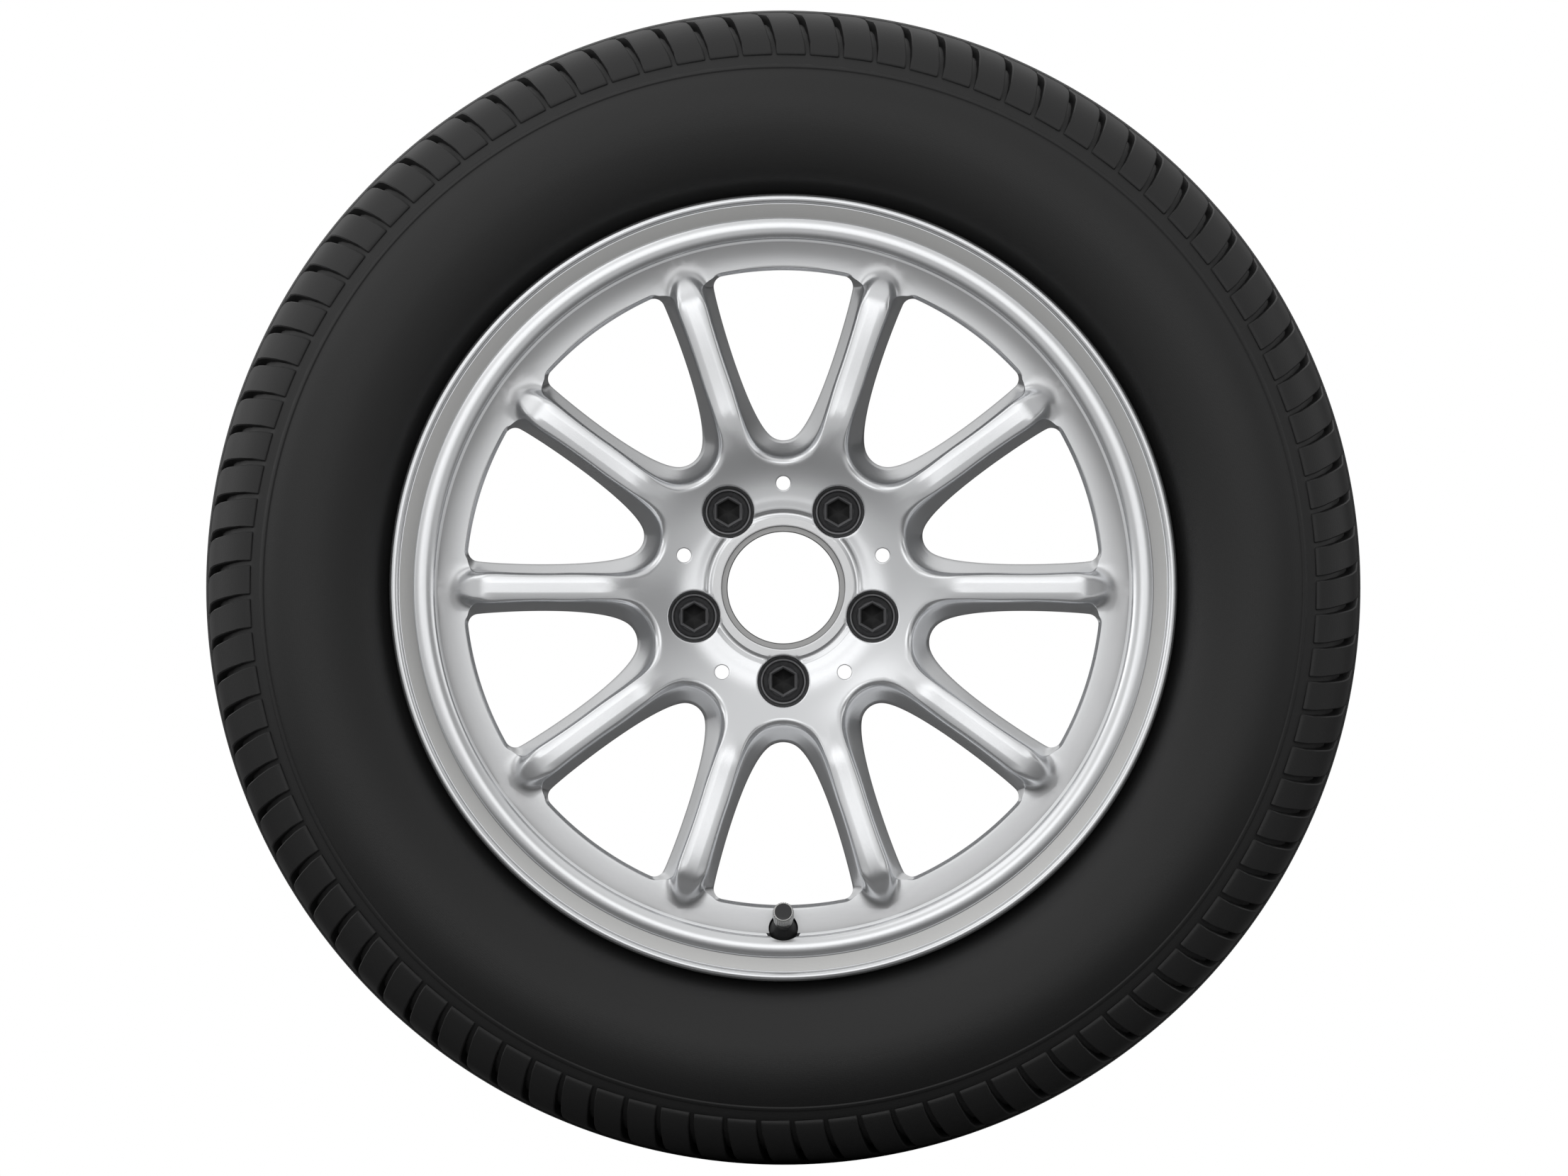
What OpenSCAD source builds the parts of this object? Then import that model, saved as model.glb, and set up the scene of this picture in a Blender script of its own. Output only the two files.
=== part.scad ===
// Car road wheel: a one-piece cast alloy rim with ten spokes, its tyre, five wheel bolts
// and a snap-in valve with its core and screw cap.
// Each piece is drawn about the wheel axis +Z with the outer face at +Z and is then laid
// over, so that the wheel stands upright, turns about Y and shows its face to -Y.
// The origin is the centre of the wheel, midway between the two rim flanges.

/* [Rim] */
// Width between the two flanges that hold the tyre
rim_w = 190.5; // [184:0.5:197]
// Radius of the bead seats
seat_r = 218.3; // [217.5:0.1:219]
// Height of the flange lips above the bead seats
flange_h = 17.2; // [16.8:0.1:18]
// Depth of the drop well below the bead seats
well_depth = 19.3; // [18.5:0.1:20]
// Thickness of the barrel wall
barrel_wall = 5; // [4.5:0.1:5.5]
// Distance from the centre plane out to the face that bolts to the hub
offset = 40; // [37:0.5:42]

/* [Hub] */
// Radius of the centre bore that sits on the hub spigot
bore_r = 33.3; // [31:0.1:34]
// Radius of the shallow recess for the centre cap
cap_recess_r = 37; // [36:0.1:38]
// Radius of the bolt circle
bolt_circle_r = 56; // [55:0.1:58]
// Radius of the counterbore round each bolt head
bolt_pocket_r = 15.3; // [14.6:0.1:16]
// Radius of the five small holes between the bolts
pin_hole_r = 4.25; // [3.5:0.05:5]
// Radius at which those small holes stand
pin_circle_r = 62.4; // [61:0.1:64]

/* [Face] */
// How far the outer edge of the windows lies inside the bead seats
window_inset = 28.6; // [27.8:0.1:29.8]
// Inner end of the windows over the small holes
hole_nose_r = 88.1; // [86:0.1:90]
// Inner end of the windows over the bolts
bolt_nose_r = 92.4; // [91:0.1:95]
// Half the width of a spoke's rounded crown
crown_half = 8; // [7.2:0.1:8.8]
// How far the hub face lies behind the spoke crests
dish = 16; // [13:0.5:18]
// Depth of a spoke from crest to back
spoke_depth = 30; // [27:0.5:32]

/* [Tyre] */
// Outer radius of the tread at its middle
tyre_r = 345.15; // [343:0.1:347]
// Widest section width of the tyre
section_w = 245; // [240:0.5:248]
// Depth of the tread grooves
tread_depth = 8; // [6:0.1:9]
// Number of shoulder blocks round each side
block_count = 100; // [80:1:104]
// Width of the grooves between the shoulder blocks
block_gap = 3.8; // [3:0.1:4.2]

/* [Bolts and valve] */
// Width across the flats of the bolt heads
bolt_flats = 17; // [16:0.1:18]
// Radius of the bolt shanks
shank_r = 7; // [6.5:0.05:7.2]
// How far the shanks stand out behind the mounting face
shank_out = 28; // [22:0.5:32]
// Lean of the valve towards the wheel centre, in degrees
valve_lean = 18.6; // [15:0.2:20]
// Radius of the valve cap
cap_r = 6.3; // [6:0.05:6.6]

/* [Hidden] */

silver = [0.80, 0.81, 0.83];
rubber_black = [0.13, 0.13, 0.14];
bolt_black = [0.16, 0.17, 0.18];
brass = [0.78, 0.62, 0.32];
cap_metal = [0.66, 0.67, 0.68];

bolt_count = 5;
window_count = 2 * bolt_count;
pitch = 360 / window_count;
half_pitch = pitch / 2;
bolt_turn = 54;
valve_turn = 270;

half_w = rim_w / 2;
flange_r = seat_r + flange_h;
well_r = seat_r - well_depth;
barrel_in = well_r - barrel_wall;
window_r = seat_r - window_inset;

// Levels of the face along the wheel axis
crest_z = half_w - 3.75;
hub_z = crest_z - 1.5 - dish;
band_z = half_w - 13.25;
back_z = crest_z - 0.5 - spoke_depth;
pad_r = 76;

// Radii where the face changes
ring_r = 42;
shoulder_r = 51;
hub_edge_r = 54;
flat_start_r = 112;
knuckle_r = window_r - 17.7;
knuckle_end_r = window_r + 10.3;
band_r = window_r + 2.3;
border_r = seat_r - 11.3;
plate_r = border_r + 2;
hub_inner_r = 30;

// Smooth step from 0 to 1, and a soft maximum of two heights
function ease(t) = let(c = max(0, min(1, t))) c * c * (3 - 2 * c);
function soft_max(a, b, k) = let(h = max(0, k - abs(a - b)) / k) max(a, b) + h * h * k / 4;

// Points along an arc and along a cubic curve
function arc(c, r, a0, a1, n) = [for (i = [0 : n]) let(a = a0 + (a1 - a0) * i / n)
  c + r * [cos(a), sin(a)]];
function curve_at(p, t) = pow(1 - t, 3) * p[0] + 3 * t * pow(1 - t, 2) * p[1]
  + 3 * t * t * (1 - t) * p[2] + pow(t, 3) * p[3];

// Height of a spoke's crest and of the hub face at radius r
function crest(r) = hub_z + dish * ease((r - hub_edge_r + 2) / (flat_start_r - hub_edge_r))
  + 1.5 * ease((r - flat_start_r) / (knuckle_r - flat_start_r))
  - 7.5 * pow(max(0, r - knuckle_r) / (knuckle_end_r - knuckle_r), 1.8);

// Height of the recessed band that the spokes run out into
function band(r) = band_z + 0.25 * (r - band_r);

// Height of the back of the spokes
function back(r) = back_z - 15 * (1 - ease((r - pad_r) / 49)) + 0.55 * max(0, r - window_r + 5);

// Fall of the rounded crown at distance d in from its edge
function crown_fall(d) = d > 5 ? 0 : 2.6 * pow(1 - d / 5, 2) + (d < 0 ? -2.2 * d : 0);

// Radius at which a spoke starts to sink into the band
knuckle_start_r = knuckle_r - 7;

// Height of the face at radius r, lateral distance y from the spoke and distance d in
// from the edge of the crown
function face(r, y, d) = let(
    k = ease((r - knuckle_start_r) / 13),
    top = crest(r) - (1 - k) * crown_fall(d) - k * crown_fall(crown_half - y))
  r < knuckle_start_r ? top : soft_max(top, band(r) - 40 * (1 - k), 3);

// Half of a window's edge, from the middle of its inner end to the middle of its outer end.
// The inner end is an arc, the side is a cubic curve, the corner is an arc and the outer
// edge follows the rim. A row holds inner end, arc radius, arc end heading, the pulls of
// the curve and the heading at the corner.
nose_steps = 4;
side_steps = 9;
corner_steps = 4;
edge_steps = 4;
half_steps = nose_steps + side_steps + corner_steps + edge_steps;
corner_r = 6.3;
corner_turn = 11.1;
hole_window = [hole_nose_r, 11.9, 51.6, 18.2, 9.5, 8];
bolt_window = [bolt_nose_r, 14, 53.5, 20.2, 6.1, 10.1];

function half_window(w) = let(
    nose_c = [w[0] + w[1], 0],
    nose = arc(nose_c, w[1], 180, 90 + w[2], nose_steps),
    corner_c = (window_r - corner_r) * [cos(corner_turn), sin(corner_turn)],
    corner = arc(corner_c, corner_r, 90 + w[5], corner_turn, corner_steps),
    side = [nose[nose_steps], nose[nose_steps] + w[3] * [cos(w[2]), sin(w[2])],
      corner[0] - w[4] * [cos(w[5]), sin(w[5])], corner[0]])
  concat(nose,
    [for (i = [1 : side_steps]) curve_at(side, i / side_steps)],
    [for (i = [1 : corner_steps]) corner[i]],
    [for (i = [1 : edge_steps]) let(a = corner_turn * (1 - i / edge_steps))
      window_r * [cos(a), sin(a)]]);

// Radius and angle, from the window's middle, of the line that the face grid starts from:
// round the hub, out along the spoke's middle and round the plate's rim
hub_turns = nose_steps;
spoke_end = nose_steps + side_steps + corner_steps + 2;
hole_radii = [for (p = half_window(hole_window)) norm(p)];
function grid_start(i) = i <= hub_turns ? [hub_edge_r, half_pitch * i / hub_turns]
  : i <= nose_steps + side_steps
    ? [hole_radii[i] - 26 + 18 * (i - hub_turns) / side_steps, half_pitch]
  : i < spoke_end ? [knuckle_r + 4 + 4.7 * (i - nose_steps - side_steps), half_pitch]
  : [plate_r, half_pitch * (half_steps - i) / (half_steps - spoke_end)];

// Width of the side wall seen from the front, at step i of the window's edge
function wall_band(i) = i < nose_steps ? 11
  : i < nose_steps + side_steps
    ? 11 - 5 * ease((i - nose_steps) / 4) - 3.6 * ease((i - nose_steps - 6) / 3)
  : 2.2;

// Unit normal of the window's edge, away from the window
function edge_normal(p, i) = i == 0 ? [-1, 0] : i == half_steps ? [1, 0]
  : let(t = p[i + 1] - p[i - 1]) [-t[1], t[0]] / norm(t);

// One column of the plate: from the start line over the crown, down the side wall of the
// window and back along the rear. Each point is [along the window, across it, height].
function column(p, i) = let(
    s = grid_start(i),
    q = s[0] * [cos(s[1]), sin(s[1])],
    n = edge_normal(p, i),
    b = wall_band(i),
    c = p[i] + b * n,
    w = norm(q - c),
    rim_part = ease((i - nose_steps - side_steps + 2) / 4),
    e = p[i] + (0.8 + 2.5 * rim_part) * n,
    low = back(norm(p[i])),
    edge_z = (1 - rim_part) * (low + 4) + rim_part * (band(norm(c)) - 2.3),
    lip_z = face_at(c, 0) - 0.35 * (face_at(c, 0) - edge_z))
  [
    [q[0], q[1], face_at(q, w)],
    for (d = [min(w * 0.75, 12), min(w * 0.5, 5), min(w * 0.25, 2.2)])
      let(m = c + (q - c) * d / w) [m[0], m[1], face_at(m, d)],
    [c[0], c[1], face_at(c, 0)],
    [p[i][0] + 0.72 * b * n[0], p[i][1] + 0.72 * b * n[1], lip_z],
    [p[i][0], p[i][1], edge_z],
    [e[0], e[1], low],
    [q[0], q[1], back(s[0])],
  ];

// Height of the face at a point given along and across a window
function face_at(m, d) = let(r = norm(m), a = half_pitch - atan2(m[1], m[0]))
  face(r, r * sin(a), d);

rows = 9;
half_columns = half_steps + 1;
loop_columns = 2 * half_steps;
hub_rings = [shoulder_r, 47, 44.5, ring_r, hub_inner_r];
hub_ring_z = [-0.2, -0.6, -2, -1, -1];
hub_columns = 2 * hub_turns * window_count;

// Turn a column's points by the window's angle, on the given side of its middle
function place(pts, turn, side) = [for (v = pts)
  let(r = norm([v[0], v[1]]), a = turn + side * atan2(v[1], v[0])) [r * cos(a), r * sin(a), v[2]]];

// The columns all round one window
function window_loop(half, turn) = [for (i = [0 : loop_columns - 1])
  i <= half_steps ? place(half[i], turn, 1) : place(half[loop_columns - i], turn, -1)];

// The cast plate with hub face, ten spokes and recessed band as one closed surface
module face_plate() {
  halves = [for (w = [hole_window, bolt_window]) let(p = half_window(w))
    [for (i = [0 : half_steps]) column(p, i)]];
  loops = [for (j = [0 : window_count - 1])
    window_loop(halves[j % 2], half_pitch + j * pitch)];
  plate_points = [for (l = loops) for (c = l) for (v = c) v];
  hub_levels = [for (k = [0 : len(hub_rings) - 1]) [hub_rings[k], hub_z + hub_ring_z[k]]];
  hub_points = [for (k = concat(hub_levels, [[hub_inner_r, back(hub_edge_r)]]))
    for (i = [0 : hub_columns - 1]) let(a = i * half_pitch / hub_turns)
      [k[0] * cos(a), k[0] * sin(a), k[1]]];
  base = len(plate_points);
  hub_rows = len(hub_rings) + 1;
  // Index of a plate point, and of a hub circle's point on the plate's top or rear
  function at(j, c, row) = (j * loop_columns + c % loop_columns) * rows + row;
  function on_circle(i, row) = let(
      k = i % hub_columns,
      j = floor(k / (2 * hub_turns)),
      s = k - j * 2 * hub_turns - hub_turns)
    at(j, s >= 0 ? s : loop_columns + s, row);
  function ring(i, k) = base + k * hub_columns + i % hub_columns;
  faces = concat(
    [for (j = [0 : window_count - 1]) for (c = [0 : loop_columns - 1]) for (k = [0 : rows - 2])
      [at(j, c, k), at(j, c + 1, k), at(j, c + 1, k + 1), at(j, c, k + 1)]],
    [for (j = [0 : window_count - 1])
      for (c = [spoke_end : loop_columns - spoke_end - 1])
        [at(j, c, rows - 1), at(j, c + 1, rows - 1), at(j, c + 1, 0), at(j, c, 0)]],
    [for (i = [0 : hub_columns - 1])
      [on_circle(i, 0), ring(i, 0), ring(i + 1, 0), on_circle(i + 1, 0)]],
    [for (k = [0 : hub_rows - 2]) for (i = [0 : hub_columns - 1])
      [ring(i, k), ring(i, k + 1), ring(i + 1, k + 1), ring(i + 1, k)]],
    [for (i = [0 : hub_columns - 1])
      [ring(i, hub_rows - 1), on_circle(i, rows - 1),
        on_circle(i + 1, rows - 1), ring(i + 1, hub_rows - 1)]]);
  polyhedron(points = concat(plate_points, hub_points), faces = faces, convexity = 8);
}

// Section of a bead seat and flange as the tyre meets them, from the hump up the flange
function bead_line() = concat(
  [[seat_r, half_w - 18]],
  arc([seat_r + 6.5, half_w - 6.5], 6.5, 180, 90, 5),
  [[seat_r + 12.7, half_w]]);

// Section of the barrel, its two flanges and the stepped outer border of the face
module barrel_section() {
  lip_z = half_w + 7;
  front = concat(
    bead_line(),
    arc([flange_r - 2, half_w + 4], 2, -60, 0, 3),
    arc([flange_r - 2.7, lip_z], 2.7, 0, 150, 6),
    [
      [flange_r - 5.7, half_w + 6.4],
      [flange_r - 6.2, half_w + 6.9],
      [flange_r - 14.1, half_w + 5.3],
    ],
    arc([flange_r - 15.5, half_w - 5.6], 11, 85, 172, 8),
    [
      [border_r, half_w - 6.9],
      [border_r, band_z - 3],
      [barrel_in, band_z - 3],
    ]);
  rear = [for (p = concat(
    bead_line(),
    arc([flange_r - 2, half_w + 4], 2, -60, 0, 3),
    arc([flange_r - 3, half_w + 6], 3, 0, 120, 5),
    [
      [flange_r - 11, half_w + 5.4],
      [seat_r - 2, half_w + 2],
      [seat_r - 6, half_w - 12],
      [seat_r - 6.5, 45],
      [barrel_in, 20],
    ])) [p[0], -p[1]]];
  outside = concat(
    [
      [seat_r - 6.5 + barrel_wall, -48],
      [seat_r - 1.6, 25 - half_w],
      [seat_r + 0.4, 21.5 - half_w],
    ]);
  slope = tan(valve_lean);
  seat_low = half_w - 21.4;
  front_side = [
    [well_r, -16],
    [well_r, seat_low - 12],
    [seat_r - 15.3, seat_low - slope * 15.3],
    [seat_r, seat_low],
    [seat_r + 0.4, half_w - 19.5],
  ];
  polygon(concat(front, [for (i = [len(rear) - 1 : -1 : 0]) rear[i]],
    [for (i = [len(outside) - 1 : -1 : 0]) outside[i]], front_side));
}

// Levels of a bolt's seat, from the mounting face outwards
cone_top_z = offset + 17;
collar_r = bolt_pocket_r - 3;
neck_r = shank_r - 0.2;
cone_drop = (collar_r - neck_r) / tan(30);
bolt_hole_r = shank_r + 0.4;
hole_cone_drop = (collar_r - bolt_hole_r) / tan(30);
collar_h = 3;
head_h = 12;

// Valve frame: its seat on the thin web at the foot of a pocket in the band
valve_hole_r = 5.65;
valve_web = 4;
valve_seat_r = border_r - 0.2;
valve_seat_z = half_w - 20.65;
valve_pocket_r = 10.5;

// Put something drawn along the valve's axis, seat at zero, in its place in the rim
module at_valve() {
  rotate([0, 0, valve_turn]) translate([valve_seat_r, 0, valve_seat_z])
    rotate([0, -valve_lean, 0]) children();
}

// Stand the wheel up: face to -Y
module stand() {
  rotate([90, 0, 0]) children();
}

// Something at each bolt, or midway between them. Its own seam is turned off the radius,
// where an edge of the hub face runs.
module round_hub(radius, turn) {
  for (i = [0 : bolt_count - 1]) rotate([0, 0, turn + i * 360 / bolt_count])
    translate([radius, 0, 0]) rotate([0, 0, 40]) children();
}

// Holes and seats that are machined in the hub
module hub_cuts() {
  translate([0, 0, offset - 1]) cylinder(r = bore_r, h = 60, $fn = 96);
  translate([0, 0, offset - 1]) cylinder(r1 = bore_r + 2, r2 = bore_r, h = 2, $fn = 96);
  translate([0, 0, hub_z - 7]) cylinder(r = cap_recess_r, h = 20, $fn = 96);
  round_hub(bolt_circle_r, bolt_turn) {
    translate([0, 0, offset - 1]) cylinder(r = bolt_hole_r, h = 30, $fn = 48);
    translate([0, 0, cone_top_z - hole_cone_drop])
      cylinder(r1 = bolt_hole_r, r2 = collar_r, h = hole_cone_drop, $fn = 48);
    translate([0, 0, cone_top_z]) cylinder(r = bolt_pocket_r, h = 40, $fn = 64);
  }
  round_hub(pin_circle_r, bolt_turn + 36)
    translate([0, 0, offset - 1]) cylinder(r = pin_hole_r, h = 60, $fn = 32);
}

// Channel along the back of each spoke
channel_start = flat_start_r + 12;
channel_end = knuckle_r;
channel_half = 4.5;

module spoke_channels() {
  for (i = [0 : window_count - 1]) rotate([0, 0, i * pitch]) {
    translate([0, 0, back_z - 10]) linear_extrude(height = 18) union() {
      translate([channel_start, -channel_half])
        square([channel_end - channel_start, 2 * channel_half]);
      translate([channel_start, 0]) circle(r = channel_half, $fn = 24);
      translate([channel_end, 0]) circle(r = channel_half, $fn = 24);
    }
  }
}

// Pad round the hub with the flat face that bolts to the car
module mounting_pad() {
  rotate_extrude($fn = 180) polygon([
    [bore_r - 2, offset],
    [pad_r - 3, offset],
    [pad_r, offset + 3],
    [pad_r, offset + 14],
    [bore_r - 2, offset + 14],
  ]);
}

module alloy_rim() {
  stand() color(silver) difference() {
    union() {
      face_plate();
      rotate_extrude($fn = 180) barrel_section();
      mounting_pad();
    }
    hub_cuts();
    spoke_channels();
    at_valve() {
      translate([0, 0, -20]) cylinder(r = valve_hole_r, h = 40, $fn = 48);
      cylinder(r = valve_pocket_r, h = 40, $fn = 48);
      translate([0, 0, -valve_web - 15]) cylinder(r = valve_pocket_r, h = 15, $fn = 48);
    }
  }
}

// Section of one half of the tyre, from the tread's middle round the shoulder and side wall
// to the bead. Side walls bulge to the section width.
side_w = section_w / 2;
ply = 9.5;

module tyre_section() {
  groove_floor = tyre_r - tread_depth;
  outside = [
    [tyre_r - 0.1, 14],
    [groove_floor, 14.5],
    [groove_floor, 22.5],
    [tyre_r - 0.1, 23],
    [tyre_r - 0.8, 44],
    [groove_floor - 0.5, 44.7],
    [groove_floor - 0.5, 53.3],
    [tyre_r - 1.2, 54],
    [tyre_r - 2.3, side_w - 41],
    [tyre_r - 4.2, side_w - 31],
    [tyre_r - 8.5, side_w - 22.5],
    [tyre_r - 15, side_w - 16],
    [tyre_r - 21, side_w - 12.3],
    [tyre_r - 26, side_w - 10.6],
    [tyre_r - 26.9, side_w - 11.7],
    [tyre_r - 32, side_w - 8.9],
    [tyre_r - 34.5, side_w - 7.3],
    [tyre_r - 46, side_w - 2.2],
    [tyre_r - 54, side_w - 0.4],
    [tyre_r - 61, side_w],
    [tyre_r - 69, side_w - 0.5],
    [tyre_r - 78, side_w - 2.4],
    [tyre_r - 90, side_w - 7],
    [flange_r + 9.5, half_w + 12.5],
    [flange_r + 5, half_w + 5.5],
    [flange_r + 1.5, half_w + 1.6],
    [flange_r - 1.5, half_w + 0.3],
  ];
  bead = bead_line();
  inside = [
    [seat_r, half_w - 17.5],
    [seat_r + 8, half_w - 14],
    [seat_r + 17, half_w - 9],
    [seat_r + 28, half_w - 1],
    [tyre_r - 84, side_w - ply - 2],
    [tyre_r - 61, side_w - ply],
    [tyre_r - 44, side_w - ply - 4],
    [tyre_r - 32, side_w - ply - 12],
    [tyre_r - 23, side_w - ply - 25],
    [tyre_r - 18.5, side_w - ply - 45],
    [tyre_r - 17, 30],
    [tyre_r - 16.6, 0],
  ];
  half = concat(outside, [for (i = [len(bead) - 1 : -1 : 1]) bead[i]], inside);
  n = len(half);
  polygon(concat([[tyre_r, 0]], half,
    [for (i = [n - 2 : -1 : 0]) [half[i][0], -half[i][1]]]));
}

// One groove between two shoulder blocks: a slanted slot from the side wall over the tread
module shoulder_groove() {
  floor_r = tyre_r - tread_depth;
  translate([tyre_r - 12, 0, 0]) rotate([0, 0, 15.9]) translate([12 - tyre_r, 0, 0])
    rotate([90, 0, 0]) linear_extrude(height = block_gap, center = true) polygon([
      [floor_r, 57],
      [floor_r - 0.5, side_w - 34],
      [tyre_r - 14, side_w - 22],
      [tyre_r - 23, side_w - 14],
      [tyre_r - 26, side_w - 11.4],
      [tyre_r - 26, side_w + 5],
      [tyre_r + 5, side_w + 5],
      [tyre_r + 5, 57],
    ]);
}

module shoulder_grooves() {
  for (i = [0 : block_count - 1]) rotate([0, 0, 1.4 + i * 360 / block_count]) shoulder_groove();
}

module tyre() {
  stand() color(rubber_black) difference() {
    rotate_extrude($fn = 180) tyre_section();
    shoulder_grooves();
    rotate([180, 0, 0]) shoulder_grooves();
  }
}

// Wheel bolt: shank that stands out behind the wheel, thinner neck in the wheel, cone seat,
// collar and a hexagon head with a hexagon recess
module wheel_bolt() {
  head_top = cone_top_z + collar_h + head_h;
  recess_flats = bolt_flats * 0.776;
  recess_depth = 7;
  difference() {
    union() {
      rotate_extrude($fn = 64) polygon([
        [0, offset - shank_out],
        [shank_r - 1.5, offset - shank_out],
        [shank_r, offset - shank_out + 1.5],
        [shank_r, offset],
        [neck_r, offset + 0.2],
        [neck_r, cone_top_z - cone_drop],
        [collar_r, cone_top_z],
        [collar_r, cone_top_z + collar_h - 1],
        [collar_r - 1, cone_top_z + collar_h],
        [0, cone_top_z + collar_h],
      ]);
      intersection() {
        rotate([0, 0, 30]) translate([0, 0, cone_top_z + 1])
          cylinder(d = bolt_flats / cos(30), h = head_top - cone_top_z - 1, $fn = 6);
        rotate_extrude($fn = 64) polygon([
          [0, cone_top_z],
          [bolt_flats, cone_top_z],
          [bolt_flats, head_top - 4.5],
          [bolt_flats / 2, head_top],
          [0, head_top],
        ]);
      }
    }
    translate([0, 0, head_top - recess_depth]) rotate([0, 0, 30])
      cylinder(d = recess_flats / cos(30), h = recess_depth + 1, $fn = 6);
    translate([0, 0, head_top - 0.8])
      cylinder(r1 = recess_flats / 2, r2 = recess_flats / 2 + 1.5, h = 1.5, $fn = 64);
    translate([0, 0, head_top - recess_depth - 2])
      cylinder(r1 = 0.5, r2 = recess_flats / 2 - 0.2, h = 2.01, $fn = 48);
  }
}

module place_bolt(i) {
  stand() color(bolt_black) rotate([0, 0, bolt_turn + (i - 1) * 360 / bolt_count])
    translate([bolt_circle_r, 0, 0]) rotate([0, 0, -bolt_turn - (i - 1) * 360 / bolt_count])
      wheel_bolt();
}

module wheel_bolt_1() { place_bolt(1); }
module wheel_bolt_2() { place_bolt(2); }
module wheel_bolt_3() { place_bolt(3); }
module wheel_bolt_4() { place_bolt(4); }
module wheel_bolt_5() { place_bolt(5); }

// Valve sizes along its axis, from the outer face of the web
stem_r = 3.85;
stem_bore_r = 2.6;
stem_low_bore_r = 1.5;
air_bore_r = 0.95;
stem_top = 37;
core_step = 25.5;
rubber_top = 23;
cap_low = 25;
cap_top = 41;
cap_floor = 38.6;
pin_r = 0.7;
pin_play = 0.05;
seal_top = 24;
seal_low = seal_top - 1.6;
spring_low = 10;
spring_top = 21;
spring_wire = 0.3;
spring_r = 1.1;
spring_turns = 7;

// Rubber body with its bulb behind the web and the shoulder that snaps in front of it
module valve_body() {
  stand() color(rubber_black) at_valve() rotate_extrude($fn = 64) polygon([
    [stem_r, -11],
    [6.5, -11],
    [9.2, -valve_web - 1.5],
    [9.2, -valve_web],
    [valve_hole_r, -valve_web],
    [valve_hole_r, 0],
    [8.35, 0],
    [8.35, 9],
    [6.6, 14],
    [6, 19],
    [5.6, rubber_top - 0.6],
    [5, rubber_top],
    [stem_r, rubber_top],
  ]);
}

// Brass stem moulded into the body, bored for the core, with a ledge under its spring
module valve_stem() {
  stand() color(brass) at_valve() rotate_extrude($fn = 64) polygon([
    [air_bore_r, -12.5],
    [stem_r, -12.5],
    [stem_r, stem_top - 0.5],
    [stem_r - 0.5, stem_top],
    [stem_bore_r, stem_top],
    [stem_bore_r, core_step],
    [stem_low_bore_r + 0.6, core_step - 2],
    [stem_low_bore_r, core_step - 2.6],
    [stem_low_bore_r, spring_low],
    [air_bore_r, spring_low],
  ]);
}

// Core: screwed plug, its cone gasket, the sprung pin and the soft seat it pulls up
module valve_core_body() {
  stand() color(brass) at_valve() rotate_extrude($fn = 48) polygon([
    [pin_r + pin_play, seal_top],
    [1.35, seal_top],
    [1.35, core_step + 1],
    [1.75, core_step + 1.6],
    [1.75, core_step + 3.4],
    [stem_bore_r, core_step + 4],
    [stem_bore_r, stem_top - 2.6],
    [1.3, stem_top - 1.4],
    [pin_r + pin_play, stem_top - 1.4],
  ]);
}

module valve_core_gasket() {
  stand() color("firebrick") at_valve() rotate_extrude($fn = 48) polygon([
    [1.75, core_step + 1.6],
    [2.45, core_step + 1.6],
    [stem_bore_r, core_step + 2.2],
    [stem_bore_r, core_step + 3.4],
    [1.75, core_step + 3.4],
  ]);
}

module valve_core_seal() {
  stand() color("black") at_valve() rotate_extrude($fn = 48) polygon([
    [pin_r, seal_low],
    [1.3, seal_low],
    [1.3, seal_top],
    [pin_r, seal_top],
  ]);
}

module valve_core_pin() {
  stand() color(brass) at_valve() rotate_extrude($fn = 32) polygon([
    [0, spring_low - 2],
    [pin_r, spring_low - 2],
    [pin_r, spring_top],
    [1.3, spring_top],
    [1.3, seal_low],
    [pin_r, seal_low],
    [pin_r, stem_top - 0.8],
    [0, stem_top - 0.4],
  ]);
}

// Coil spring between the stem's ledge and the pin's collar: a round wire swept on a helix
module valve_core_spring() {
  wire_sides = 6;
  per_turn = 14;
  last = spring_turns * per_turn;
  wire_r = spring_wire / 2;
  rise = spring_top - spring_low - 2 * wire_r;
  wire_points = [for (i = [0 : last]) for (k = [0 : wire_sides - 1])
    let(a = 360 * i / per_turn, b = 360 * k / wire_sides, r = spring_r + wire_r * cos(b))
      [r * cos(a), r * sin(a), spring_low + wire_r + rise * i / last + wire_r * sin(b)]];
  sides = [for (i = [0 : last - 1]) for (k = [0 : wire_sides - 1]) let(n = (k + 1) % wire_sides)
    [i * wire_sides + k, i * wire_sides + n, (i + 1) * wire_sides + n, (i + 1) * wire_sides + k]];
  low_end = [for (k = [wire_sides - 1 : -1 : 0]) k];
  top_end = [for (k = [0 : wire_sides - 1]) last * wire_sides + k];
  stand() color("silver") at_valve()
    polyhedron(points = wire_points, faces = concat(sides, [low_end, top_end]), convexity = 6);
}

// Knurled screw cap with a soft washer inside and a plain disc let into its end
cap_bore_r = stem_r + 0.1;
disc_r = 5.15;
knurls = 28;

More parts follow.
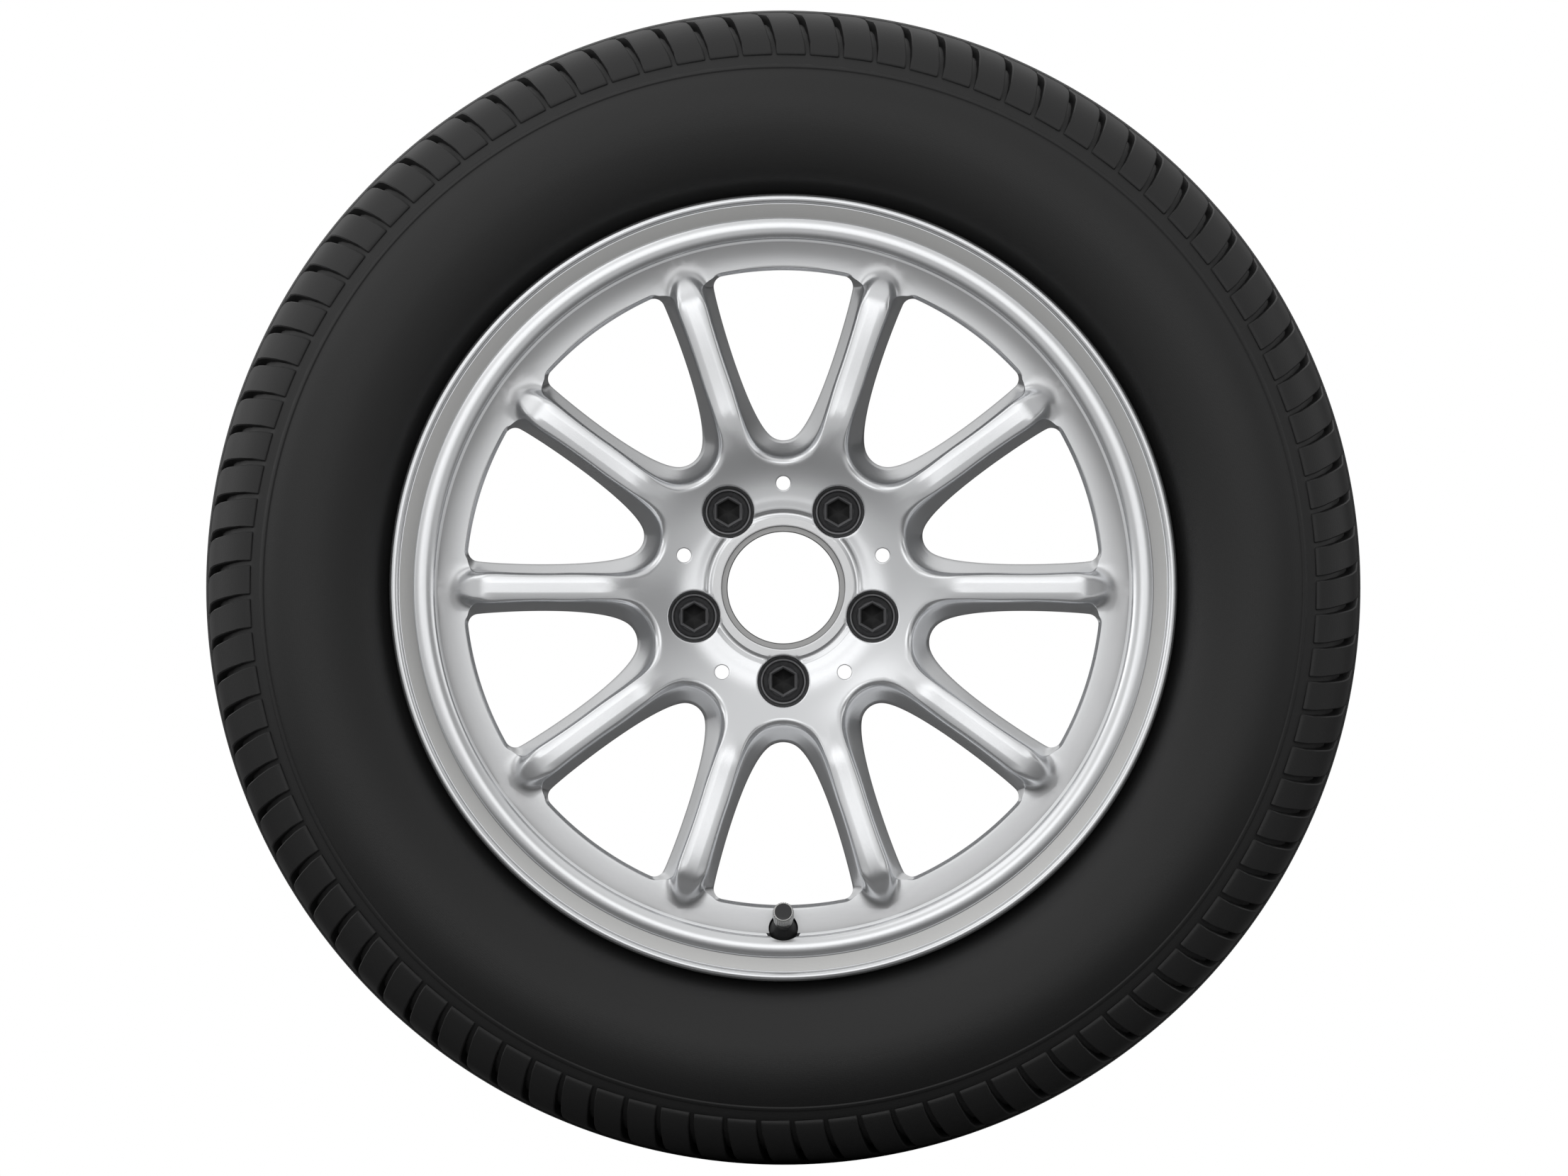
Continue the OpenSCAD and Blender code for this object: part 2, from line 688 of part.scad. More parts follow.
module valve_cap() {
  stand() color(cap_metal) at_valve() difference() {
    rotate_extrude($fn = 64) polygon([
      [cap_bore_r + 0.3, cap_low],
      [cap_r - 0.8, cap_low],
      [cap_r - 0.4, cap_low + 0.5],
      [cap_r - 0.4, cap_low + 2.5],
      [cap_r, cap_low + 3],
      [cap_r, cap_top - 0.8],
      [cap_r - 0.7, cap_top],
      [disc_r, cap_top],
      [disc_r, cap_top - 0.6],
      [0, cap_top - 0.6],
      [0, cap_floor],
      [cap_bore_r, cap_floor],
      [cap_bore_r, cap_low + 0.4],
    ]);
    for (i = [0 : knurls - 1]) rotate([0, 0, i * 360 / knurls])
      translate([cap_r, 0, cap_low + 3.4]) rotate([0, 0, 45])
        translate([-0.35, -0.35, 0]) cube([0.7, 0.7, cap_top - cap_low - 4.8]);
  }
}

module valve_cap_seal() {
  stand() color("black") at_valve() rotate_extrude($fn = 48) polygon([
    [1.2, stem_top],
    [cap_bore_r - 0.1, stem_top],
    [cap_bore_r - 0.1, cap_floor],
    [1.2, cap_floor],
  ]);
}

module valve_cap_disc() {
  stand() color("black") at_valve() translate([0, 0, cap_top - 0.6])
    cylinder(r = disc_r, h = 0.5, $fn = 48);
}

alloy_rim();
tyre();
wheel_bolt_1();
wheel_bolt_2();
wheel_bolt_3();
wheel_bolt_4();
wheel_bolt_5();
valve_body();
valve_stem();
valve_core_body();
valve_core_seal();
valve_core_gasket();
valve_core_pin();
valve_core_spring();
valve_cap();
valve_cap_seal();
valve_cap_disc();
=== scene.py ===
import math

import bmesh
import bpy
from mathutils import Matrix, Vector
from mathutils.geometry import delaunay_2d_cdt


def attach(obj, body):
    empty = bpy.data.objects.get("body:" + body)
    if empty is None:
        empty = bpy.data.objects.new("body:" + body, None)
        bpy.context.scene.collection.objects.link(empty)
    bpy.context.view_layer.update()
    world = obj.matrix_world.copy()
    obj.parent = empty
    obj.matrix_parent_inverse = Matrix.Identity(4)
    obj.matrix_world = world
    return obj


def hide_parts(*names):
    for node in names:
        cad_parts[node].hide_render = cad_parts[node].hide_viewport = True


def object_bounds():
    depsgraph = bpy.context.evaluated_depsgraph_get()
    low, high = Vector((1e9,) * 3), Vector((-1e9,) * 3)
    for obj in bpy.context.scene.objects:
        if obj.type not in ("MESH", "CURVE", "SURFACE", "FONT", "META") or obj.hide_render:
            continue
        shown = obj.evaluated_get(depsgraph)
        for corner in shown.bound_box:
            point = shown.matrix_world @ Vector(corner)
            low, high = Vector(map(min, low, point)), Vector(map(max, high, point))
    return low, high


bl_info = {
    "name": "Alloy Wheel",
    "version": (1, 0, 0),
    "blender": (4, 5, 0),
    "location": "View3D > Sidebar > Wheel",
    "description": "Makes a cast road wheel with its tyre, bolts and valve over its frame",
    "category": "Add Mesh",
}

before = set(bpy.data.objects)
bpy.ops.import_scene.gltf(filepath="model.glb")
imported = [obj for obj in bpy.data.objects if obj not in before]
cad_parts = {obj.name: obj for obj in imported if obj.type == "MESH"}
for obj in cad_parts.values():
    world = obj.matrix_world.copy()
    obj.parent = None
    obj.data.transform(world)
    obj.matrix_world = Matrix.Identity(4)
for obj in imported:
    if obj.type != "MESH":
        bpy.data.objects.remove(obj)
CAD_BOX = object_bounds()

# What repeats round the wheel, with angles in degrees. The first bolt stands at BOLT_TURN.
WINDOWS = 10
HALF_PITCH = 180 / WINDOWS
BOLTS = 5
BOLT_PITCH = 360 / BOLTS
BOLT_TURN = 54
VALVE_LEAN = 18.6

# Points of a mesh that lie closer than this, in metres, are merged
MERGE = 2e-6
KNURL_MERGE = 3e-6


# Small helpers for lengths, curves and meshes


def mm(length):
    """A stored length in metres as millimetres."""
    return length * 1000


def ease(value, start=0.0, end=1.0):
    """Smooth step from 0 to 1 while a value goes from start to end."""
    t = max(0.0, min(1.0, (value - start) / (end - start)))
    return t * t * (3 - 2 * t)


def soft_max(a, b, blend):
    """The larger of two heights, rounded where they are close."""
    near = max(0.0, blend - abs(a - b)) / blend
    return max(a, b) + near * near * blend / 4


def blended(a, b, share):
    """A value that lies between a and b by a share."""
    return a + (b - a) * share


def rounded_off(gap, radius):
    """How far an edge rounded to a radius lies below its face, at a gap from the edge."""
    inward = radius - min(radius, max(0.0, gap - 0.001))
    return radius - math.sqrt(radius**2 - inward**2)


def on_circle(radius, degrees):
    """A point on a circle about the axis."""
    return radius * math.cos(math.radians(degrees)), radius * math.sin(math.radians(degrees))


def arc(centre, radius, start, end, steps):
    """Points along an arc, from one angle to another in degrees."""
    points = []
    for i in range(steps + 1):
        dx, dy = on_circle(radius, start + (end - start) * i / steps)
        points.append((centre[0] + dx, centre[1] + dy))
    return points


def weighed(points, weights):
    """The sum of points times weights."""
    return tuple(sum(w * p[k] for w, p in zip(weights, points)) for k in (0, 1))


def cubic(points, t):
    """A point on a cubic curve with four control points."""
    return weighed(points, ((1 - t) ** 3, 3 * t * (1 - t) ** 2, 3 * t * t * (1 - t), t**3))


def through(points, steps):
    """A smooth line through points."""
    line = [points[0]]
    padded = [points[0], *points, points[-1]]
    for four in zip(padded, padded[1:], padded[2:], padded[3:]):
        for i in range(1, steps + 1):
            t = i / steps
            weights = (2 * t * t - t - t**3, 2 - 5 * t * t + 3 * t**3,
                       t + 4 * t * t - 3 * t**3, t**3 - t * t)
            line.append(weighed(four, [weight / 2 for weight in weights]))
    return line


def rounded(corners, steps=6):
    """A line whose corners (x, y, radius) are rounded."""
    line = []
    for i, (x, y, radius) in enumerate(corners):
        if radius == 0:
            line.append((x, y))
            continue
        here = Vector((x, y))
        back = (Vector(corners[i - 1][:2]) - here).normalized()
        ahead = (Vector(corners[(i + 1) % len(corners)][:2]) - here).normalized()
        half = back.angle(ahead) / 2
        reach = radius / math.tan(half)
        centre = here + (back + ahead).normalized() * radius / math.sin(half)
        first = here + back * reach - centre
        last = here + ahead * reach - centre
        turn = first.angle_signed(last)
        for k in range(steps + 1):
            arm = Matrix.Rotation(-turn * k / steps, 2) @ first
            line.append(tuple(centre + arm))
    return line


class Shape:
    """Points in local millimetres and the faces between them."""

    def __init__(self):
        self.points = []
        self.faces = []
        self.flat = []

    def add(self, points, faces, flat=False):
        """Add points and the faces between them, which are shaded flat or smooth."""
        base = len(self.points)
        self.points += [tuple(p) for p in points]
        if flat:
            self.flat += range(len(self.faces), len(self.faces) + len(faces))
        self.faces += [tuple(base + k for k in face) for face in faces]
        return self

    def rings(self, rings, closed=False):
        """Quads between rings of equal length, each a closed loop of points."""
        count = len(rings[0])
        faces = []
        for j in range(len(rings) if closed else len(rings) - 1):
            a, b = j * count, (j + 1) % len(rings) * count
            for i in range(count):
                k = (i + 1) % count
                faces.append((a + i, a + k, b + k, b + i))
        return self.add([p for ring in rings for p in ring], faces)

    def capped(self, centre, ring):
        """Close a ring with a fan about a centre."""
        count = len(ring)
        return self.add([centre, *ring], [(0, 1 + i, 1 + (i + 1) % count) for i in range(count)])

    def turned(self, profile, segments, closed=False):
        """A profile of (radius, height) turned about the axis. Ends on the axis are closed."""
        line = [p for p in profile if p[0] > 1e-6]
        self.rings([ring_at(r, z, segments) for r, z in line], closed)
        for end, edge in ((profile[0], line[0]), (profile[-1], line[-1])):
            if end[0] <= 1e-6:
                self.capped((0, 0, end[1]), ring_at(*edge, segments))
        return self

    def moved(self, matrix):
        """The shape with every point moved by a matrix."""
        self.points = [tuple(matrix @ Vector(p)) for p in self.points]
        return self

    def stood_up(self, name, sharp=32):
        """The shape as an object in the wheel's frame, in metres, with outward faces."""
        mesh = bpy.data.meshes.new(name)
        mesh.from_pydata([(x / 1000, -z / 1000, y / 1000) for x, y, z in self.points], [],
                         self.faces)
        flat = set(self.flat)
        for polygon in mesh.polygons:
            polygon.use_smooth = polygon.index not in flat
        face_outward(mesh, MERGE)
        mesh.set_sharp_from_angle(angle=math.radians(sharp))
        return linked(name, mesh)


def linked(name, data):
    """A new object in the scene."""
    made = bpy.data.objects.new(name, data)
    bpy.context.scene.collection.objects.link(made)
    return made


def face_outward(mesh, merge=0.0):
    """Merge the points that lie closer than this and turn all faces outward."""
    work = bmesh.new()
    work.from_mesh(mesh)
    if merge > 0:
        bmesh.ops.remove_doubles(work, verts=work.verts, dist=merge)
    bmesh.ops.recalc_face_normals(work, faces=work.faces)
    work.to_mesh(mesh)
    work.free()


def smoothed(mesh, sharp):
    """Smooth shading, with edges sharp from an angle in degrees."""
    for polygon in mesh.polygons:
        polygon.use_smooth = True
    mesh.set_sharp_from_angle(angle=math.radians(sharp))


def check_closed(piece):
    """Stop if the piece has an edge that doesn't join two faces."""
    work = bmesh.new()
    work.from_mesh(piece.data)
    loose = [edge for edge in work.edges if not edge.is_manifold]
    work.free()
    if loose:
        raise RuntimeError(f"{piece.name} is open at {len(loose)} edges")


def ring_at(radius, height, segments, centre=(0, 0)):
    """Points round a circle at a height, about the axis or another centre."""
    ring = []
    for i in range(segments):
        x, y = on_circle(radius, 360 * i / segments)
        ring.append((centre[0] + x, centre[1] + y, height))
    return ring


def as_plain_mesh(piece):
    """Turn the piece with its modifiers into a plain mesh."""
    graph = bpy.context.evaluated_depsgraph_get()
    mesh = bpy.data.meshes.new_from_object(
        piece.evaluated_get(graph), preserve_all_data_layers=True, depsgraph=graph
    )
    piece.modifiers.clear()
    piece.data = mesh
    if not mesh.polygons:
        raise RuntimeError(f"{piece.name} came out empty")


def combine(piece, tool, operation):
    """Join a closed shape to the piece, or cut it away, and drop the tool."""
    step = piece.modifiers.new(operation.lower(), "BOOLEAN")
    step.operation = operation
    step.solver = "MANIFOLD"
    step.object = tool
    bpy.context.view_layer.update()
    as_plain_mesh(piece)
    bpy.data.objects.remove(tool)


def finish_piece(piece, material, body, slot, *nodes):
    """Give a piece its material, unless it has one, set it under its body and hide the CAD parts
    that it replaces.
    """
    if material is not None:
        piece.data.materials.clear()
        piece.data.materials.append(material)
    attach(piece, body)
    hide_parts(*nodes)


# Node trees


class Amount:
    """A number in a node tree that can stand in an expression."""

    def __init__(self, graph, socket):
        self.graph = graph
        self.socket = socket

    def __add__(self, other):
        return self.graph.math("ADD", self, other)

    def __radd__(self, other):
        return self.graph.math("ADD", other, self)

    def __sub__(self, other):
        return self.graph.math("SUBTRACT", self, other)

    def __rsub__(self, other):
        return self.graph.math("SUBTRACT", other, self)

    def __mul__(self, other):
        return self.graph.math("MULTIPLY", self, other)

    def __rmul__(self, other):
        return self.graph.math("MULTIPLY", other, self)

    def __truediv__(self, other):
        return self.graph.math("DIVIDE", self, other)

    def __pow__(self, other):
        return self.graph.math("POWER", self, other)


class Graph:
    """Adds nodes to a tree."""

    def __init__(self, tree):
        self.tree = tree

    def feed(self, socket, value):
        """Link a socket to a value from the tree, or set it."""
        if isinstance(value, Amount):
            value = value.socket
        if isinstance(value, bpy.types.NodeSocket):
            self.tree.links.new(value, socket)
        else:
            socket.default_value = value

    def node(self, kind, settings=None, sockets=None):
        """A node of a kind, with its settings and the values or links of its sockets."""
        node = self.tree.nodes.new(kind)
        for name, value in (settings or {}).items():
            setattr(node, name, value)
        for name, value in (sockets or {}).items():
            self.feed(node.inputs[name], value)
        return node

    def number(self, kind, settings=None, sockets=None, output=0):
        """One output of a new node, to stand in an expression."""
        return Amount(self, self.node(kind, settings, sockets).outputs[output])

    def math(self, operation, first, second=0.0):
        """A Math node on one or two values."""
        return self.number("ShaderNodeMath", {"operation": operation}, {0: first, 1: second})

    def rise(self, value, start, end):
        """0 below start, 1 above end, smooth between."""
        return self.number(
            "ShaderNodeMapRange",
            {"interpolation_type": "SMOOTHSTEP"},
            {"Value": value, "From Min": start, "From Max": end},
        )

    def between(self, value, low, high, blur):
        """1 between low and high, with a soft edge."""
        return self.rise(value, low - blur, low + blur) * self.rise(
            value, high + blur, high - blur
        )

    def noise(self, place, scale, detail=2.0, rough=0.5):
        """Even noise about one half."""
        return self.number(
            "ShaderNodeTexNoise",
            None,
            {"Vector": place, "Scale": scale, "Detail": detail, "Roughness": rough},
        )

    def mix_colour(self, share, first, second):
        """One colour passing into another."""
        node = self.node("ShaderNodeMix", {"data_type": "RGBA"})
        for index, value in ((0, share), (6, first), (7, second)):
            if isinstance(value, tuple):
                value = (*value[:3], 1.0)
            self.feed(node.inputs[index], value)
        return node.outputs[2]


def toned(colour, factor):
    """A colour made lighter or darker."""
    return tuple(c * factor for c in colour)


class Finish(Graph):
    """The material of one kind of surface."""

    def __init__(self, name, constants):
        self.material = bpy.data.materials.new(name)
        self.material.use_nodes = True
        super().__init__(self.material.node_tree)
        self.tree.nodes.clear()
        self.surface = self.node("ShaderNodeBsdfPrincipled")
        output = self.node("ShaderNodeOutputMaterial")
        self.tree.links.new(self.surface.outputs[0], output.inputs[0])
        for socket, value in constants.items():
            self.surface.inputs[socket].default_value = value
        self.place = self.node("ShaderNodeTexCoord").outputs["Object"]
        split = self.node("ShaderNodeSeparateXYZ", None, {0: self.place})
        self.x, self.y, self.z = (Amount(self, out) for out in split.outputs)
        self.radius = (self.x * self.x + self.z * self.z) ** 0.5

    def from_bolts(self, circle_r):
        """Distance from the axis of the nearest wheel bolt."""
        pitch = math.radians(BOLT_PITCH)
        angle = self.math("ARCTAN2", self.z, self.x) - math.radians(BOLT_TURN)
        beside = self.math("FRACT", angle / pitch + 0.5) - 0.5
        along = self.radius * self.math("COSINE", beside * pitch)
        return (self.radius * self.radius - along * (2 * circle_r) + circle_r**2) ** 0.5

    def set(self, socket, value):
        """Give a socket of the surface a colour, a number or a link."""
        if isinstance(value, tuple):
            value = (*value[:3], 1.0)
        self.feed(self.surface.inputs[socket], value)

    def bump(self, height, depth):
        """Raise the surface by height, which runs from 0 to 1, times depth in metres."""
        node = self.node("ShaderNodeBump", None, {"Height": height, "Distance": depth})
        self.feed(self.surface.inputs["Normal"], node.outputs[0])

    def waves(self, value, length):
        """Even waves from 0 to 1 along a value."""
        return self.math("SINE", value * (2 * math.pi / length)) * 0.5 + 0.5


RING_INPUTS = (
    ("Source", "NodeSocketObject"),
    ("Count", "NodeSocketInt"),
    ("Circle radius", "NodeSocketFloat"),
    ("First angle", "NodeSocketFloat"),
    ("Turning", "NodeSocketFloat"),
    ("Material", "NodeSocketMaterial"),
)


def ring_recipe(name, both_sides, weld):
    """A Geometry Nodes tree that sets copies of an object out round the wheel axis.

    They turn with their angle where Turning is 1. With both_sides a second set stands turned
    over on the wheel's other side, and points closer than weld are merged.
    """
    tree = bpy.data.node_groups.new(name, "GeometryNodeTree")
    tree.interface.new_socket("Geometry", in_out="INPUT", socket_type="NodeSocketGeometry")
    for label, kind in RING_INPUTS:
        tree.interface.new_socket(label, in_out="INPUT", socket_type=kind)
    tree.interface.new_socket("Geometry", in_out="OUTPUT", socket_type="NodeSocketGeometry")
    graph = Graph(tree)
    given = graph.node("NodeGroupInput").outputs
    count, radius, first, turning = (
        Amount(graph, given[label]) for label, _ in RING_INPUTS[1:5]
    )
    points = graph.node("GeometryNodePoints", None, {"Count": count})
    angle = (graph.number("GeometryNodeInputIndex") / count) * (2 * math.pi) + first
    spot = graph.node("ShaderNodeCombineXYZ", None, {
        "X": graph.math("COSINE", angle) * radius, "Z": graph.math("SINE", angle) * radius})
    turn = graph.node("ShaderNodeCombineXYZ", None, {"Y": angle * -1.0 * turning})
    placed = graph.node("GeometryNodeSetPosition", None, {
        "Geometry": points.outputs[0], "Position": spot.outputs[0]})
    source = graph.node("GeometryNodeObjectInfo", None, {"Object": given["Source"]})
    copies = graph.node("GeometryNodeInstanceOnPoints", None, {
        "Points": placed.outputs[0], "Instance": source.outputs["Geometry"],
        "Rotation": turn.outputs[0]})
    parts = [given["Geometry"], copies.outputs[0]]
    if both_sides:
        rear = graph.node("GeometryNodeTransform", None, {
            "Geometry": copies.outputs[0], "Rotation": (math.pi, 0, 0)})
        parts.append(rear.outputs[0])
    joined = graph.node("GeometryNodeJoinGeometry")
    for part in parts:
        tree.links.new(part, joined.inputs[0])
    made = graph.node("GeometryNodeRealizeInstances", None, {0: joined.outputs[0]})
    if weld > 0:
        made = graph.node("GeometryNodeMergeByDistance", None, {
            "Geometry": made.outputs[0], "Distance": weld})
    dressed = graph.node("GeometryNodeSetMaterial", None, {
        "Geometry": made.outputs[0], "Material": given["Material"]})
    tree.links.new(dressed.outputs[0], graph.node("NodeGroupOutput").inputs[0])
    return tree


def set_out(piece, recipe, source, count, material, radius=0.0, first=0.0, turning=1.0):
    """Join copies of a shape to the piece with a recipe, and drop the single shape."""
    step = piece.modifiers.new(recipe.name, "NODES")
    step.node_group = recipe
    values = dict(zip([label for label, _ in RING_INPUTS],
                      (source, count, radius, first, turning, material)))
    for item in recipe.interface.items_tree:
        if item.in_out == "INPUT" and item.name in values:
            step[item.identifier] = values[item.name]
    bpy.context.view_layer.update()
    as_plain_mesh(piece)
    bpy.data.objects.remove(source)


# Settings


def length_setting(name, description, default, low=0.0, high=1.0):
    return bpy.props.FloatProperty(
        name=name,
        description=description,
        default=default,
        min=low,
        max=high,
        precision=5,
        subtype="DISTANCE",
        unit="LENGTH",
    )


def colour_setting(name, description, default):
    return bpy.props.FloatVectorProperty(
        name=name, description=description, default=default, min=0, max=1, subtype="COLOR"
    )


class RimSettings(bpy.types.PropertyGroup):
    rim_width: length_setting("Rim width", "Width between the two flanges", 0.1905)
    seat_radius: length_setting("Seat radius", "Radius of the bead seats", 0.2183)
    flange_height: length_setting("Flange height", "Height of the lips over the seats", 0.0172)
    well_depth: length_setting("Well depth", "Depth of the drop well below the seats", 0.0193)
    barrel_wall: length_setting("Barrel wall", "Thickness of the barrel", 0.005)
    offset: length_setting("Offset", "From the centre plane to the mounting face", 0.040)
    bore_radius: length_setting("Bore radius", "Radius of the centre bore", 0.0333)
    bolt_circle: length_setting("Bolt circle radius", "Where bolts and pockets stand", 0.056)
    recess_radius: length_setting("Recess radius", "Radius of the centre cap's recess", 0.037)
    pocket_radius: length_setting("Pocket radius", "Radius of a bolt's counterbore", 0.0153)
    pin_radius: length_setting("Small hole radius", "Radius of the five small holes", 0.00425)
    pin_circle: length_setting("Small hole circle", "Radius at which they stand", 0.0624)
    window_radius: length_setting("Window radius", "Outer edge of the windows", 0.1897)
    crown_half: length_setting("Crown half", "Half the width of a spoke's crown", 0.008)
    dish: length_setting("Dish", "How far the hub lies behind the spoke crests", 0.016)
    spoke_depth: length_setting("Spoke depth", "Depth of a spoke from crest to back", 0.030)
    lacquer: colour_setting("Lacquer", "Colour of the silver lacquer", (0.80, 0.81, 0.825))
    bare_metal: colour_setting("Bare metal", "Colour of the machined faces", (0.54, 0.54, 0.535))


class TyreSettings(bpy.types.PropertyGroup):
    radius: length_setting("Tyre radius", "Outer radius of the tread", 0.34505)
    width: length_setting("Section width", "Widest section of the tyre", 0.245)
    tread_depth: length_setting("Tread depth", "Depth of the grooves", 0.008)
    blocks: bpy.props.IntProperty(
        name="Blocks", description="Shoulder blocks round each side", default=100, min=60, max=120
    )
    rubber: colour_setting("Rubber", "Colour of the side walls", (0.0075, 0.0075, 0.0077))


class BoltSettings(bpy.types.PropertyGroup):
    flats: length_setting("Across flats", "Width of the bolt heads", 0.017)
    shank_radius: length_setting("Shank radius", "Radius over the threads", 0.007)
    shank_out: length_setting("Shank out", "Length behind the mounting face", 0.028)
    pitch: length_setting("Thread pitch", "Pitch of the bolt threads", 0.0015)
    coating: colour_setting("Coating", "Colour of the black coating", (0.075, 0.075, 0.078))


class ValveSettings(bpy.types.PropertyGroup):
    lean: bpy.props.FloatProperty(
        name="Lean",
        description="Lean of the valve towards the wheel centre",
        default=math.radians(VALVE_LEAN),
        subtype="ANGLE",
        unit="ROTATION",
    )
    cap_radius: length_setting("Cap radius", "Radius of the screw cap", 0.0063)
    knurls: bpy.props.IntProperty(
        name="Knurls", description="Grooves round the cap", default=28, min=12, max=48
    )
    cap_colour: colour_setting("Cap colour", "Colour of the cap's metal", (0.70, 0.70, 0.69))
    brass: colour_setting("Brass", "Colour of the stem and core", (0.71, 0.50, 0.20))


class StudioSettings(bpy.types.PropertyGroup):
    frame_width: length_setting("Frame width", "Width that the camera sees", 0.9374, 0.1, 5.0)
    key_power: bpy.props.FloatProperty(
        name="Key power", description="Power of the large lamp above left", default=5, min=0
    )
    floor_colour: colour_setting("Floor", "Colour of the floor", (0.80, 0.80, 0.80))


# Rim

# Steps along the inner arc, the side, the corner and half the outer edge of half a window
NOSE_STEPS, SIDE_STEPS, CORNER_STEPS, EDGE_STEPS = 10, 28, 20, 12
HALF_STEPS = NOSE_STEPS + SIDE_STEPS + CORNER_STEPS + EDGE_STEPS
HUB_POINTS = 2 * NOSE_STEPS * WINDOWS
HUB_EDGE_R = 74.5
PAD_EDGE_R = 76.6

# How far along its half a window's edge ends its inner arc, side, corner and outer edge. Past
# MID_EDGE the face beside it belongs to the border and no longer to a spoke.
NOSE_END, SIDE_END, CORNER_END, EDGE_END = 4, 13, 17, 21
MID_EDGE = 19

# Inner end, arc radius, arc heading, pulls of the side curve and corner heading of the windows
# beside a small hole and beside a bolt. Angles are in degrees.
HOLE_WINDOW = (88.1, 11.9, 51.6, 18.2, 9.5, 8)
BOLT_WINDOW = (92.4, 14, 53.5, 20.2, 6.1, 10.1)
NOSE_BAND = 11
CORNER_R = 6.3
CORNER_TURN = 11.1

# Rows of the face, and where they lie beside a spoke's facet as shares of that stretch
FACE_ROWS = 15
SLOPE_SHARES = (0.2, 0.38, 0.53, 0.65, 0.75, 0.83, 0.895, 0.94, 0.975)
# How far out and down the rows of a window's side wall lie
WALL_ROWS = ((0.04, 0.014), (0.09, 0.041), (0.16, 0.093), (0.36, 0.296), (0.60, 0.56),
             (0.81, 0.79), (1.0, 1.0))
LIP_TURNS = (30, 60, 90)
BACK_SHARES = (0.18, 0.36, 0.52, 0.66, 0.78, 0.90)
BACK_PLACES = (8.5, 6.2, 5.3, 4.3, 3.1, 1.5)

# How far spoke crests and recessed band lie behind the flange, and what the spokes' backs lie
# deeper than the set depth
CREST_DEPTH, BAND_DEPTH, BACK_DEPTH = 3.75, 13.25, 0.5
# How far in from the windows' outer edge and from the bead seats knuckles and border start
KNUCKLE_IN, BORDER_IN = 17.7, 11.3
# Stretches of the radius over which the crests rise out of the dish and then a little more,
# the crowns take their shape and lose it again, and the backs of the spokes rise
DISH_RUN, CREST_RUN, CROWN_RUN, FLAT_RUN = (52, 110), (112, 172), (86, 108), (173, 182)
CREST_RISE = 1.5
BACK_RUN, BACK_RISE = (76, 125), 15
# Depth and side of the hollow along a spoke's back, and half width of the facet along its
# crest, with the radii from which they grow
CHANNEL_START, CHANNEL_SIDE, CHANNEL_DEPTH = 124, (2.6, 5.2), 8
FACET_START, FACET_GROWTH, FACET_HALF = 93, 11, 3.1
# Outer radii of the machined ring, the hollow beside it, the step up and the rise to the face
HUB_RING_R, HOLLOW_R, STEP_R, SHOULDER_R = 42, 44.5, 47.5, 53
# How far past a knuckle's start the crest begins to sink, how steeply and how softly
SINK_START, SINK_SLOPE, SINK_SOFTNESS = 9, 0.24, 6
# How far past the windows the recessed band starts, and its slope and curve
BAND_START, BAND_SLOPE, BAND_CURVE = 2.3, 0.03, 0.0003
# How far inside the windows' edge the back starts to rise again, and how steeply
BACK_SLOPE_IN, BACK_SLOPE = 5, 0.55
# Slope and curve of a crown beside its facet, softness between them, slope beyond its edge
CROWN_SLOPE, CROWN_CURVE, FACET_SOFTNESS, WALL_SLOPE = 0.14, 0.014, 0.25, 2.2
# Depth and width of the rounding along a crown's edge, at the hub and on a spoke
EDGE_DROPS, EDGE_WIDTHS = (2.6, 0.9), (4, 1.8)
# How far past its start a knuckle begins to flare, over what lengths it changes and blends,
# and where beside the crest the flare runs, at its start and at its end
FLARE_START, FLARE_RUN, FLARE_BLEND, BAND_BLEND = 3, (9, 23), 12, 9
FLARE_INNER, FLARE_OUTER, FLARE_DROP = (5.3, 1), (14, 14.5), 1
# How deep the band is kept under the knuckle's start, and how softly the two meet
BAND_SINK, BAND_SOFTNESS = 40, 3
# Gaps between the rows' start and a knuckle: on the spoke, at the corner and per step past it
SPOKE_GAP, CORNER_GAP, CORNER_PACE = 3.9, 4, 4.7
# Foot of a window's wall over the back of the spoke and under the band, and its lip there
WALL_FOOT, BAND_FOOT, WALL_LIP, BAND_LIP = 4, 2.3, 0.8, 3.3

# The bolts' seats: height over the mounting face, and distance in from the pockets' walls
SEAT_OVER_PAD, SEAT_IN, CONE_HALF_ANGLE, BOLT_HOLE_R = 17, 3, 30, 7.4
# Radius of the mounting pad, and depth of the centre cap's recess below the hub
PAD_R, RECESS_DEPTH = 73, 7
# Points round a bolt's pocket and a small hole, how far outside them rings of points lie, and
# the radii of the hub face's own rings
POCKET_POINTS, PIN_POINTS = 72, 36
POCKET_STEPS = (0, 0.08, 0.22, 0.42, 0.68, 1.0, 1.6)
PIN_STEPS = (0, 0.08, 0.22, 0.42, 0.6, 1.1)
HUB_GRID = (37.1, 37.3, 37.8, 39.2, 40.6, 41.7, 42, 42.15, 42.5, 43, 43.7, 44.5, 45.1, 45.8,
            46.5, 47.3, 48.3, 49.4, 50.6, 51.8, 53, 54.5, 56, 57.5, 59, 60.5, 62, 63.5, 65,
            66.5, 68, 69.4, 70.7, 71.9, 73, 73.9)
BARREL_POINTS = 240
# The valve's place in the rim, at the outer end of its hole
VALVE_R, VALVE_Z, VALVE_TURN = 206.8, 74.6, 270


